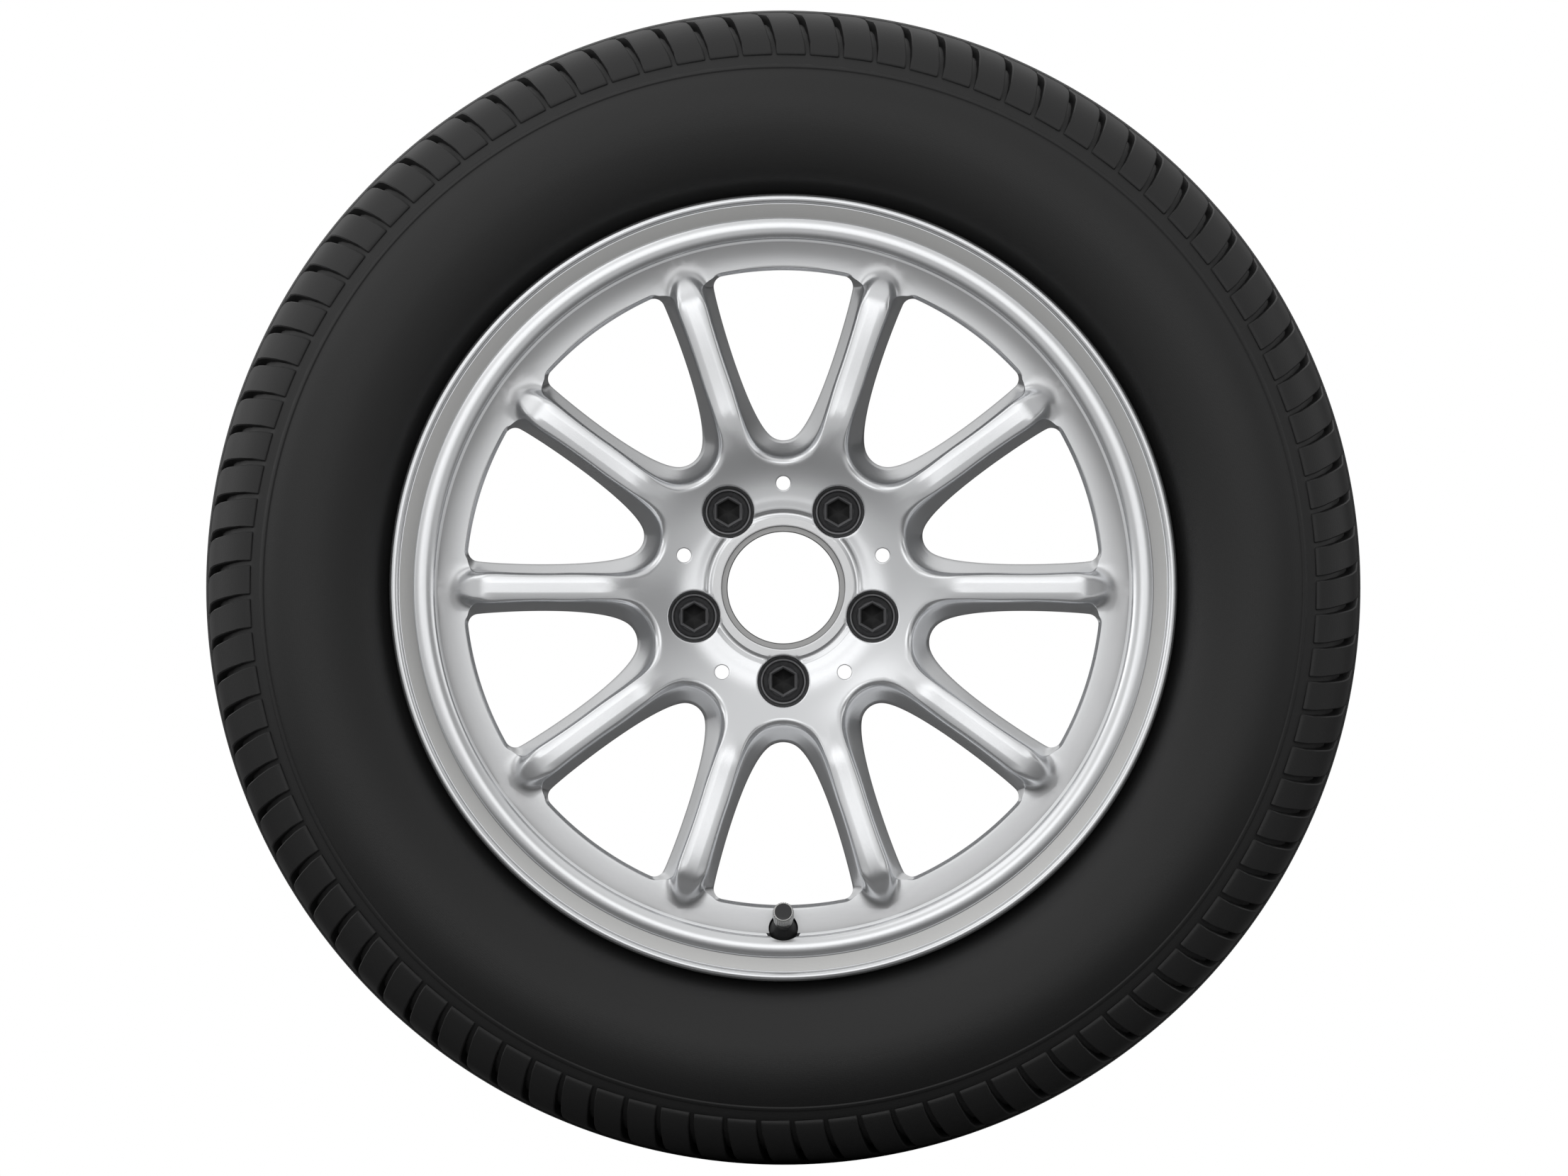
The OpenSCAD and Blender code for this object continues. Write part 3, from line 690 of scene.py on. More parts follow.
class CastFace:
    """Heights of the cast face along the wheel axis, and the outlines of its windows."""

    def __init__(self, rim):
        crest_z = mm(rim.rim_width) / 2 - CREST_DEPTH
        self.half_w = mm(rim.rim_width) / 2
        self.dish = mm(rim.dish)
        self.hub_z = crest_z - CREST_RISE - self.dish
        self.band_z = self.half_w - BAND_DEPTH
        self.back_z = crest_z - BACK_DEPTH - mm(rim.spoke_depth)
        self.window_r = mm(rim.window_radius)
        self.knuckle_r = self.window_r - KNUCKLE_IN
        self.border_r = mm(rim.seat_radius) - BORDER_IN
        self.plate_r = self.border_r + 2
        self.pocket_r = mm(rim.pocket_radius)
        self.bolt_circle = mm(rim.bolt_circle)
        self.pin_r = mm(rim.pin_radius)
        self.pin_circle = mm(rim.pin_circle)
        self.recess_r = mm(rim.recess_radius)
        self.bore_r = mm(rim.bore_radius)
        self.offset = mm(rim.offset)
        self.seat_z = self.offset + SEAT_OVER_PAD
        self.seat_r = self.pocket_r - SEAT_IN

    def crest(self, r):
        """Height of a spoke's crest, which rises out of the dish and sinks past the knuckle."""
        past = r - self.knuckle_r - SINK_START
        sink = SINK_SLOPE * (past + math.hypot(past, SINK_SOFTNESS))
        rise = self.dish * ease(r, *DISH_RUN) + CREST_RISE * ease(r, *CREST_RUN)
        return self.hub_z + rise - sink

    def band(self, r):
        """The recessed band, which curves up towards the border."""
        out = r - self.window_r - BAND_START
        return self.band_z + BAND_SLOPE * out + BAND_CURVE * max(0.0, out) ** 3

    def back(self, r):
        """Height of the back of the face."""
        lift = BACK_RISE * (1 - ease(r, *BACK_RUN))
        out = max(0.0, r - self.window_r + BACK_SLOPE_IN)
        return self.back_z - lift + BACK_SLOPE * out

    def channel(self, r, y):
        """Depth of the hollow along the back of a spoke."""
        beyond = max(0.0, CHANNEL_START - r, r - self.knuckle_r)
        return CHANNEL_DEPTH * (1 - ease(math.hypot(beyond, y), *CHANNEL_SIDE))

    def facet_half(self, r):
        """Half the width of the flat facet along the crest."""
        return FACET_HALF * max(0.0, min(1.0, (r - FACET_START) / FACET_GROWTH))

    def crown_fall(self, r, y, d):
        """How far the crown lies below the crest: y across the spoke, d in from its edge."""
        k = ease(r, *CROWN_RUN)
        beside = y - self.facet_half(r)
        beside = (beside + math.hypot(beside, FACET_SOFTNESS)) / 2
        slope = CROWN_SLOPE * beside + CROWN_CURVE * beside ** 2
        depth, wide = blended(*EDGE_DROPS, k), blended(*EDGE_WIDTHS, k)
        rounding = depth * max(0.0, 1 - d / wide) ** 2
        return slope * k * (1 - ease(r, *FLAT_RUN)) + rounding + WALL_SLOPE * max(0.0, -d)

    def top(self, r, y, d):
        """Height of the face: y across the spoke, d in from the crown's edge.

        From the knuckle on, the crown's flanks flare down into the recessed band.
        """
        past = r - self.knuckle_r - FLARE_START
        crest, band = self.crest(r), self.band(r)
        height = crest - self.crown_fall(r, y, d)
        if past < 0:
            return height
        k = ease(past, *FLARE_RUN)
        inner, outer = blended(*FLARE_INNER, k), blended(*FLARE_OUTER, k)
        flared = crest - (crest - band + FLARE_DROP) * ease(y, inner, outer)
        height = blended(height, flared, ease(past / FLARE_BLEND))
        return soft_max(height, band - BAND_SINK * (1 - ease(past / BAND_BLEND)), BAND_SOFTNESS)

    def hub_rings(self, r):
        """Machined ring, hollow and shoulder round the bore, below the hub face."""
        if r <= HUB_RING_R:
            return -1.0
        if r <= HOLLOW_R:
            return -1 - math.sin(math.pi / 2 * (r - HUB_RING_R) / (HOLLOW_R - HUB_RING_R))
        if r <= STEP_R:
            return -2 + 1.5 * ease(r, HOLLOW_R, STEP_R)
        return -0.5 * (1 - ease(r, STEP_R, SHOULDER_R))

    def nose_distance(self, x, y):
        """Distance from the nearest crown edge round a window's inner end."""
        nearest = 99.0
        for j in range(WINDOWS):
            kind = HOLE_WINDOW if j % 2 == 0 else BOLT_WINDOW
            cx, cy = on_circle(kind[0] + kind[1], HALF_PITCH + 2 * HALF_PITCH * j)
            nearest = min(nearest, math.hypot(x - cx, y - cy) - kind[1] - NOSE_BAND)
        return nearest

    def bolt_places(self):
        return [on_circle(self.bolt_circle, BOLT_TURN + BOLT_PITCH * k) for k in range(BOLTS)]

    def pin_places(self):
        """Centres of the small holes, halfway between the bolts."""
        return [on_circle(self.pin_circle, BOLT_TURN + BOLT_PITCH * (k + 0.5))
                for k in range(BOLTS)]

    def hub_height(self, x, y):
        """Height of the hub face, with its edges rounded."""
        r = math.hypot(x, y)
        d = self.nose_distance(x, y)
        drop, wide = EDGE_DROPS[0], EDGE_WIDTHS[0]
        height = self.crest(r) + self.hub_rings(r) - drop * max(0.0, 1 - d / wide) ** 2
        for places, radius, edge in (
            (self.bolt_places(), self.pocket_r, 1.0),
            (self.pin_places(), self.pin_r, 0.6),
        ):
            gap = min(math.hypot(x - px, y - py) for px, py in places) - radius
            height -= rounded_off(gap, edge)
        return height - rounded_off(r - self.recess_r, 0.3)

    def outline(self, kind):
        """Half of a window's edge: points, and how far along each is."""
        nose_r, bend_r, heading, pull_in, pull_out, corner_heading = kind
        points = arc((nose_r + bend_r, 0), bend_r, 180, 90 + heading, NOSE_STEPS)
        along = [NOSE_END * i / NOSE_STEPS for i in range(NOSE_STEPS + 1)]
        centre = on_circle(self.window_r - CORNER_R, CORNER_TURN)
        corner = arc(centre, CORNER_R, 90 + corner_heading, CORNER_TURN, CORNER_STEPS)
        start, end = Vector(points[-1]), Vector(corner[0])
        side = (
            start,
            start + Vector(on_circle(pull_in, heading)),
            end - Vector(on_circle(pull_out, corner_heading)),
            end,
        )
        for i in range(1, SIDE_STEPS + 1):
            points.append(cubic(side, i / SIDE_STEPS))
            along.append(blended(NOSE_END, SIDE_END, i / SIDE_STEPS))
        for i in range(1, CORNER_STEPS + 1):
            points.append(corner[i])
            along.append(blended(SIDE_END, CORNER_END, i / CORNER_STEPS))
        for i in range(1, EDGE_STEPS + 1):
            points.append(on_circle(self.window_r, CORNER_TURN * (1 - i / EDGE_STEPS)))
            along.append(blended(CORNER_END, EDGE_END, i / EDGE_STEPS))
        return points, along

    def feet(self, points):
        """Where the window's edge lies along the middle of the spoke."""
        feet = []
        for x, y in points:
            r, a = math.hypot(x, y), math.degrees(math.atan2(y, x))
            feet.append(r * math.cos(math.radians(HALF_PITCH - a)))
        return feet

    def starts(self):
        """Radius and angle of the line that the rows of the face start from."""
        points, along = self.outline(HOLE_WINDOW)
        others, _ = self.outline(BOLT_WINDOW)
        feet = [(a + b) / 2 for a, b in zip(self.feet(points), self.feet(others))]
        first, last = feet[NOSE_STEPS], feet[NOSE_STEPS + SIDE_STEPS]
        starts = []
        for foot, u in zip(feet, along):
            if u <= NOSE_END:
                starts.append((HUB_EDGE_R, HALF_PITCH * u / NOSE_END))
            elif u <= SIDE_END:
                t = (u - NOSE_END) / (SIDE_END - NOSE_END)
                reach = (first - HUB_EDGE_R) * (1 - t) ** 2
                gap = last - self.knuckle_r - SPOKE_GAP
                starts.append((foot - reach - gap * t * t, HALF_PITCH))
            elif u < MID_EDGE:
                out = CORNER_GAP + CORNER_PACE * (u - SIDE_END)
                starts.append((self.knuckle_r + out, HALF_PITCH))
            else:
                share = (EDGE_END - u) / (EDGE_END - MID_EDGE)
                starts.append((self.plate_r, HALF_PITCH * share))
        return starts


def wall_band(u):
    """Width of a window's side wall seen from the front."""
    spoke = 5 * ease(u, NOSE_END, 8) - 1.3 * ease(u, 11, SIDE_END)
    return NOSE_BAND - spoke - 5.1 * ease(u, 12.8, 15.2)


def row_shares(face, u, edge_r, edge_y):
    """Where the rows of a column lie between the spoke's middle and the crown's edge."""
    at_hub = [1 - (1 - k / (FACE_ROWS + 1)) ** 1.6 for k in range(1, FACE_ROWS + 1)]
    on_spoke = ease(edge_r, 98, 108)
    if on_spoke == 0:
        return at_hub
    facet = max(1.2, face.facet_half(edge_r))
    slope = facet + 1
    places = [0.4 * facet, 0.8 * facet, facet - 0.2, facet + 0.15, facet + 0.5, slope]
    places += [slope + (edge_y - slope) * share for share in SLOPE_SHARES]
    shares = [blended(a, b / edge_y, on_spoke) for a, b in zip(at_hub, places)]
    even = [k / (FACE_ROWS + 1) for k in range(1, FACE_ROWS + 1)]
    return [blended(a, b, ease(u, 13.3, 14.5)) for a, b in zip(shares, even)]


def face_column(face, kind, points, u, i, start):
    """Points from the spoke's middle over its crown, down the window wall and back behind."""
    x, y = points[i]
    if i == 0:
        nx, ny = -1.0, 0.0
    elif i == HALF_STEPS:
        nx, ny = 1.0, 0.0
    else:
        tx, ty = points[i + 1][0] - points[i - 1][0], points[i + 1][1] - points[i - 1][1]
        size = math.hypot(tx, ty)
        nx, ny = -ty / size, tx / size
    wide = wall_band(u)
    qx, qy = on_circle(*start)
    cx, cy = x + wide * nx, y + wide * ny
    span = math.hypot(qx - cx, qy - cy)

    def polar(px, py):
        """Distances of a place from the wheel axis and from the spoke's middle."""
        r = math.hypot(px, py)
        turn = math.radians(HALF_PITCH) - math.atan2(py, px)
        return r, abs(r * math.sin(turn))

    def top_at(px, py, d):
        if u <= NOSE_END:
            d = math.hypot(px - kind[0] - kind[1], py) - kind[1] - NOSE_BAND
        r, across = polar(px, py)
        return face.top(r, across, d)

    edge_r, edge_y = polar(cx, cy)
    column = [(qx, qy, top_at(qx, qy, span))]
    for share in row_shares(face, u, edge_r, edge_y):
        mx, my = qx + (cx - qx) * share, qy + (cy - qy) * share
        column.append((mx, my, top_at(mx, my, span * (1 - share))))
    crown_z = top_at(cx, cy, 0)
    column.append((cx, cy, crown_z))
    rim_part = ease(u, SIDE_END, 16.5)
    low = face.back(math.hypot(x, y))
    edge_z = blended(low + WALL_FOOT, face.band(edge_r) - BAND_FOOT, rim_part)
    for out, down in WALL_ROWS:
        column.append((cx - wide * nx * out, cy - wide * ny * out,
                       crown_z - (crown_z - edge_z) * down))
    turned_in = blended(WALL_LIP, BAND_LIP, rim_part)
    for turn in LIP_TURNS:
        out = turned_in * (1 - math.cos(math.radians(turn)))
        down = math.sin(math.radians(turn))
        column.append((x + out * nx, y + out * ny, edge_z - (edge_z - low) * down))
    ex, ey = x + turned_in * nx, y + turned_in * ny
    if u <= NOSE_END:
        qx, qy = on_circle(PAD_EDGE_R, start[1])
    _, behind_y = polar(ex, ey)
    beside = ease(u, 5, 7) * (1 - ease(u, 12, SIDE_END))
    for share, place in zip(BACK_SHARES, BACK_PLACES):
        if beside > 0:
            share = blended(share, 1 - place / behind_y, beside)
        mx, my = ex + (qx - ex) * share, ey + (qy - ey) * share
        r, across = polar(mx, my)
        column.append((mx, my, face.back(r) + face.channel(r, across)))
    r, across = polar(qx, qy)
    column.append((qx, qy, face.back(r) + face.channel(r, across)))
    return column


def window_shapes(face, shape):
    """Add the surface round all ten windows."""
    starts = face.starts()
    for j in range(WINDOWS):
        kind = HOLE_WINDOW if j % 2 == 0 else BOLT_WINDOW
        points, along = face.outline(kind)
        half = [face_column(face, kind, points, along[i], i, starts[i])
                for i in range(HALF_STEPS + 1)]
        mirrored = [[(x, -y, z) for x, y, z in half[i]] for i in range(HALF_STEPS - 1, 0, -1)]
        turn = Matrix.Rotation(math.radians(HALF_PITCH * (2 * j + 1)), 3, "Z")
        rings = [[tuple(turn @ Vector(p)) for p in column] for column in half + mirrored]
        rows = len(rings[0])
        count = len(rings)
        faces = []
        for c in range(count):
            a, b = c * rows, (c + 1) % count * rows
            for k in range(rows - 1):
                faces.append((a + k, b + k, b + k + 1, a + k + 1))
            ahead = (c + 1) % count
            first = min(c, count - c, ahead, count - ahead)
            if along[first] >= MID_EDGE:
                faces.append((a + rows - 1, b + rows - 1, b, a))
        shape.add([p for column in rings for p in column], faces)


def filled(shape, loops, hollow, grid, height):
    """Triangles between closed loops of plan points, left open inside the hollow ones."""
    coords, edges, tags = [], [], []
    for tag, loop in enumerate(loops):
        base = len(coords)
        coords += [Vector(p[:2]) for p in loop]
        edges += [(base + i, base + (i + 1) % len(loop)) for i in range(len(loop))]
        tags += [tag] * len(loop)
    coords += [Vector(p) for p in grid]
    tags += [-1] * len(grid)
    points, _, faces, origin, _, _ = delaunay_2d_cdt(coords, edges, [], 0, 1e-7)
    tag_of = [tags[o[0]] if o else -1 for o in origin]
    kept = [f for f in faces
            if not (tag_of[f[0]] in hollow and len({tag_of[k] for k in f}) == 1)]
    shape.add([(p.x, p.y, height(p.x, p.y)) for p in points], kept)


def hub_shapes(face, shape):
    """Add hub face, bore, bolt pockets, small holes and mounting pad."""
    inner = ring_at(face.recess_r, 0, HUB_POINTS)
    loops = [ring_at(HUB_EDGE_R, 0, HUB_POINTS), inner]
    hollow = {1}
    holes = [(place, face.pocket_r, POCKET_POINTS, POCKET_STEPS) for place in face.bolt_places()]
    holes += [(place, face.pin_r, PIN_POINTS, PIN_STEPS) for place in face.pin_places()]
    for place, radius, count, steps in holes:
        hollow.add(len(loops))
        for step in steps:
            loops.append(ring_at(radius + step, 0, count, place))
    grid = []
    for radius in HUB_GRID:
        for x, y, _ in ring_at(radius, 0, HUB_POINTS):
            if all(math.hypot(x - p[0], y - p[1]) > size + steps[-1] + 0.5
                   for p, size, _, steps in holes):
                grid.append((x, y))
    filled(shape, loops, hollow, grid, face.hub_height)
    seat_z, seat_r = face.seat_z, face.seat_r
    hole_r = BOLT_HOLE_R
    cone_z = seat_z - (seat_r - hole_r) / math.tan(math.radians(CONE_HALF_ANGLE))
    pad_loops = [ring_at(PAD_R, 0, HUB_POINTS), ring_at(face.bore_r + 2, 0, HUB_POINTS)]
    for number, (place, radius, count, _) in enumerate(holes):
        edge = [(x, y, face.hub_height(x, y)) for x, y, _ in ring_at(radius, 0, count, place)]
        walls = [edge]
        if number < BOLTS:
            levels = [(radius - 0.2, 69), (radius - 1.2, 63), (radius - 1.35, seat_z + 0.9),
                      (radius - 1.5, seat_z + 0.4), (radius - 1.8, seat_z + 0.1),
                      (radius - 2.2, seat_z), (seat_r + 0.2, seat_z), (seat_r, seat_z - 0.2),
                      (hole_r, cone_z), (hole_r, face.offset + 0.5),
                      (hole_r + 0.5, face.offset)]
        else:
            levels = [(radius, 60), (radius, face.offset + 0.4), (radius + 0.4, face.offset)]
        walls += [ring_at(r, z, count, place) for r, z in levels]
        shape.rings(walls)
        pad_loops.append(ring_at(levels[-1][0], 0, count, place))
    filled(shape, pad_loops, set(range(1, len(pad_loops))), [], lambda x, y: face.offset)
    top = [(x, y, face.hub_height(x, y)) for x, y, _ in inner]
    floor_z = face.hub_z - RECESS_DEPTH
    bore = [(face.recess_r, floor_z + 0.4), (face.recess_r - 0.4, floor_z),
            (face.bore_r + 0.6, floor_z), (face.bore_r, floor_z - 0.6),
            (face.bore_r, face.offset + 1), (face.bore_r + 2, face.offset)]
    shape.rings([top] + [ring_at(r, z, HUB_POINTS) for r, z in bore])
    back_z = face.back(PAD_EDGE_R) + face.channel(PAD_EDGE_R, 0)
    side = [(PAD_R, face.offset), (74.4, face.offset + 0.5), (75.5, face.offset + 1.5),
            (76, face.offset + 3), (76, back_z - 0.6), (PAD_EDGE_R, back_z)]
    shape.rings([ring_at(r, z, HUB_POINTS) for r, z in side])


def bead_line(face, rim):
    """Section of a bead seat and the foot of its flange, as the tyre meets them."""
    seat = mm(rim.seat_radius)
    return [(seat, face.half_w - 18),
            *arc((seat + 6.5, face.half_w - 6.5), 6.5, 180, 90, 5),
            (seat + 12.7, face.half_w)]


def barrel_profile(face, rim):
    """Section of the barrel, its flanges and the stepped outer border, as one closed line."""
    seat = mm(rim.seat_radius)
    flange = seat + mm(rim.flange_height)
    well = seat - mm(rim.well_depth)
    inside = well - mm(rim.barrel_wall)
    half_w = face.half_w
    front = bead_line(face, rim) + arc((flange - 2, half_w + 4), 2, -60, 0, 3)
    front += arc((flange - 2.7, half_w + 7), 2.7, 0, 150, 14)
    front += [
        (flange - 5.3, half_w + 7.6),
        (flange - 5.5, half_w + 5.4),
        (flange - 5.7, half_w + 5.1),
        (flange - 6.0, half_w + 5.1),
        (flange - 6.2, half_w + 5.4),
        (flange - 13.8, half_w + 3.8),
        (flange - 14.0, half_w + 3.72),
        (flange - 14.35, half_w + 4.1),
        (flange - 14.7, half_w + 4.5),
    ]
    front += arc((flange - 19.9, half_w - 6.25), 12, 66, 88, 8)
    front += arc((flange - 19.9, half_w - 3.45), 9.2, 90, 134, 14)
    step = face.border_r - 0.3
    front += [
        (step + 2.15, half_w + 2.5),
        (step + 1.95, half_w + 1.2),
        (step + 1.85, half_w - 4.6),
        (step + 1.6, half_w - 5.0),
        (step + 0.3, half_w - 5.3),
        (step + 0.08, half_w - 5.4),
        (step, half_w - 5.65),
        (step, face.band_z - 3),
        (inside, face.band_z - 3),
    ]
    rear = bead_line(face, rim) + arc((flange - 2, half_w + 4), 2, -60, 0, 3)
    rear += arc((flange - 3, half_w + 6), 3, 0, 120, 10)
    rear = [(r, -z) for r, z in rear]
    rear += rounded([
        (flange - 4.5, -half_w - 8.6, 0),
        (flange - 11, -half_w - 5.4, 3),
        (seat - 2, -half_w - 2, 5),
        (seat - 6, 12 - half_w, 20),
        (seat - 6.5, -45, 14),
        (inside, -20, 14),
        (inside, face.band_z - 3, 0),
    ])[1:-1]
    outside = [
        (seat - 6.5 + mm(rim.barrel_wall), -48),
        (seat - 1.6, 25 - half_w),
        (seat + 0.4, 21.5 - half_w),
    ]
    low = half_w - 21.4
    slope = math.tan(math.radians(VALVE_LEAN))
    front_side = [(well, -16), (well, low - 12), (seat - 15.3, low - slope * 15.3), (seat, low),
                  (seat + 0.4, half_w - 19.5)]
    return front + rear[::-1] + outside[::-1] + front_side


def at_valve(lean):
    """Place of the valve in the wheel, in local millimetres."""
    return (
        Matrix.Rotation(math.radians(VALVE_TURN), 4, "Z")
        @ Matrix.Translation((VALVE_R, 0, VALVE_Z))
        @ Matrix.Rotation(-lean, 4, "Y")
    )


# Places in metres, as distance r from the axis and place y along it, where the casting's
# finish changes. Each pair runs from no effect to full effect, or holds both ends of a band.
BORDER_BAND, BORDER_FRONT = (0.2214, 0.2294), (-0.0975, -0.0985)
HUB_RING_EDGE = (0.0371, 0.0369)
PAD_EDGE, PAD_FRONT = (0.0762, 0.0760), (-0.0412, -0.0402)
CORNER_EDGE, CORNER_BAND = (0.180, 0.2055), (-0.0875, -0.072)
POCKET_EDGE, POCKET_BAND = (0.0151, 0.0143), (-0.0715, -0.052)
FRONT_RING_BAND, FRONT_RING_FACE = (0.0372, 0.0421), (-0.06, -0.065)

SILVER_CLOUD, METAL_CLOUD = (0.62, 0.63, 0.65), (0.46, 0.46, 0.455)
# Painted shade for the corners of the recessed band and for the bolt pockets
CORNER_SHADE, POCKET_SHADE = (0.2, 0.2, 0.2), (0.25, 0.25, 0.26)
FRONT_RING_TONE, HUB_RING_TONE = (0.42, 0.42, 0.42), (0.24, 0.24, 0.24)


def silver_lacquer(rim):
    """Metallic lacquer over the casting, with the faces that are machined left bare, and painted
    shade in the band's corners and in the bolt pockets.
    """
    finish = Finish("silver_lacquer", {"Metallic": 0.92, "Coat Roughness": 0.12})
    r, y = finish.radius, finish.y
    border = finish.between(r, *BORDER_BAND, 0.0001) * finish.rise(y, *BORDER_FRONT)
    hub_ring = finish.rise(r, *HUB_RING_EDGE)
    pad = finish.rise(r, *PAD_EDGE) * finish.rise(y, *PAD_FRONT)
    bare = finish.math("MAXIMUM", finish.math("MAXIMUM", border, hub_ring), pad)
    flakes = finish.number(
        "ShaderNodeTexVoronoi", None, {"Vector": finish.place, "Scale": 2600.0}, "Color"
    )
    tone = finish.number("ShaderNodeSeparateColor", None, {0: flakes.socket})
    clouds = finish.noise(finish.place, 9.0, 3.0)
    paint = finish.mix_colour(tone * 0.10, tuple(rim.lacquer), SILVER_CLOUD)
    # Painted shade in the recessed band's corner under the border, patchy with the clouds
    corner = finish.rise(r, *CORNER_EDGE) * finish.between(y, *CORNER_BAND, 0.002)
    paint = finish.mix_colour(corner * (0.5 + clouds * 0.3), paint, CORNER_SHADE)
    # Painted shade on the floors and walls of the bolt pockets, which are also made rougher
    pocket = finish.rise(finish.from_bolts(rim.bolt_circle), *POCKET_EDGE)
    pocket = pocket * finish.between(y, *POCKET_BAND, 0.001)
    paint = finish.mix_colour(pocket * 0.75, paint, POCKET_SHADE)
    front_ring = finish.between(r, *FRONT_RING_BAND, 0.0002) * finish.rise(y, *FRONT_RING_FACE)
    paint = finish.mix_colour(front_ring * 0.5, paint, FRONT_RING_TONE)
    turning = finish.waves(finish.math("MAXIMUM", r, y * -1.0), 0.00055)
    streaks = finish.noise(finish.place, 420.0, 2.0)
    metal = finish.mix_colour(turning * 0.35 + streaks * 0.2, tuple(rim.bare_metal), METAL_CLOUD)
    metal = finish.mix_colour(hub_ring * 0.6, metal, HUB_RING_TONE)
    finish.set("Base Color", finish.mix_colour(bare, paint, metal))
    finish.set("Roughness", 0.20 + clouds * 0.04 + tone * 0.03 + bare * 0.08 + pocket * 0.3)
    finish.set("Coat Weight", (1 - bare) * 0.35)
    finish.bump(tone * (1 - bare) * 0.25 + turning * bare + streaks * bare * 0.6, 0.000012)
    return finish.material


class WHEEL_OT_rim(bpy.types.Operator):
    """Make the cast rim with its barrel, spokes, hub and machined faces"""

    bl_idname = "wheel.rim"
    bl_label = "Rim casting"

    def execute(self, context):
        rim = context.scene.wheel_rim
        face = CastFace(rim)
        shape = Shape()
        window_shapes(face, shape)
        hub_shapes(face, shape)
        casting = shape.stood_up("rim_casting")
        check_closed(casting)
        barrel = Shape().turned(barrel_profile(face, rim), BARREL_POINTS, closed=True)
        combine(casting, barrel.stood_up("barrel"), "UNION")
        cutter = Shape().turned(
            [(0, -24), (10.5, -24), (10.5, -4), (5.65, -4), (5.65, 0), (8.6, 0), (8.8, 0.4),
             (8.8, 9), (9.2, 12), (12, 15.5), (12, 40), (0, 40)], 96)
        cutter.moved(at_valve(context.scene.wheel_valve.lean))
        combine(casting, cutter.stood_up("valve_cutter"), "DIFFERENCE")
        smoothed(casting.data, 30)
        finish_piece(casting, silver_lacquer(rim), "wheel", "silver_paint", "alloy_rim")
        return {"FINISHED"}


# Tyre


# Tyre radius and half width at which the profile and the blocks' stations are written down
DRAWN_R, DRAWN_HALF_W = 345.05, 122.5


def carcass_profile(face, rim, tyre):
    """Section of the tyre under its shoulder blocks, as one closed line."""
    top = mm(tyre.radius)
    floor = top - mm(tyre.tread_depth)
    tread = [
        (top, 0), (top - 0.05, 8), (top - 0.1, 13.2), (top - 0.3, 13.8), (top - 0.8, 14.1),
        (floor + 0.8, 14.4), (floor, 15.2), (floor, 21.8), (floor + 0.8, 22.6),
        (top - 0.8, 22.9), (top - 0.3, 23.2), (top - 0.15, 23.8), (top - 0.5, 34),
        (top - 0.8, 43.2), (top - 1.0, 43.8), (top - 1.5, 44.1), (floor + 0.3, 44.6),
        (floor - 0.5, 45.4), (floor - 0.5, 52.6), (floor + 0.3, 53.4), (top - 1.9, 53.9),
        (top - 1.3, 54.4), (top - 1.35, 56.4), (top - 1.9, 56.9), (floor, 57.3),
        (floor - 0.4, 70), (floor - 0.5, 83), (floor - 2.2, 92.5), (floor - 6.0, 100.5),
        (floor - 10.5, 105.3), (floor - 15, 108.5), (floor - 18.2, 110.9),
    ]
    wall = through([
        (floor - 18.9, 111.5), (313.9, 113.3), (313.5, 113.5),
    ], 2)
    rib = [(313.2, 113.75), (312.9, 114.35), (312.2, 114.9), (311.4, 115.15), (310.8, 114.95),
           (310.5, 114.8)]
    lower = through([
        (309.6, 115.4), (304.5, 118.3), (298.2, 120.7), (291.2, 122.1), (284.1, 122.5),
        (276.1, 122.0), (267.1, 120.0), (258.5, 116.8), (250.5, 112.4), (245.2, 107.6),
        (241.5, 102.6), (238.2, 98.4), (235.6, 96.2), (234.0, 95.55),
    ], 3)
    grow, shift = top - DRAWN_R, mm(tyre.width) / 2 - DRAWN_HALF_W
    outside = tread + [(r + grow, y + shift) for r, y in wall + rib + lower]
    bead = bead_line(face, rim)
    inside = through([
        (bead[0][0], bead[0][1] + 0.5), (226, 81.2), (235.3, 86.2), (246.3, 94.2),
        (261.1, 111), (284.1, 113), (301.1, 109), (313.1, 101), (322.1, 88), (326.6, 68),
        (328.1, 30), (328.5, 0),
    ], 2)
    half = outside + bead[:0:-1] + inside
    return half + [(r, -y) for r, y in half[-2:0:-1]]


# Stations of a shoulder block: radius and width place of its outer face, groove's angle and
# width there, then radius and width place of its foot
BLOCK_STATIONS = (
    (343.75, 56.5, 2.95, 3.6, 336.0, 56.5),
    (342.85, 81.5, 2.12, 4.5, 335.8, 81.5),
    (341.00, 91.5, 1.86, 4.5, 334.5, 89.8),
    (338.95, 96.2, 1.70, 4.4, 332.4, 94.3),
    (336.65, 100.0, 1.56, 4.2, 330.2, 97.9),
    (333.60, 103.5, 1.38, 3.9, 327.6, 101.2),
    (330.15, 106.5, 1.24, 3.5, 324.9, 104.2),
    (327.00, 108.6, 1.09, 3.2, 322.5, 106.4),
    (324.15, 110.2, 1.02, 3.0, 320.6, 108.0),
    (321.60, 111.3, 0.98, 2.8, 318.9, 109.2),
    (319.80, 111.85, 0.96, 2.7, 317.9, 109.9),
    (318.85, 111.5, 0.96, 2.7, 317.4, 110.3),
)


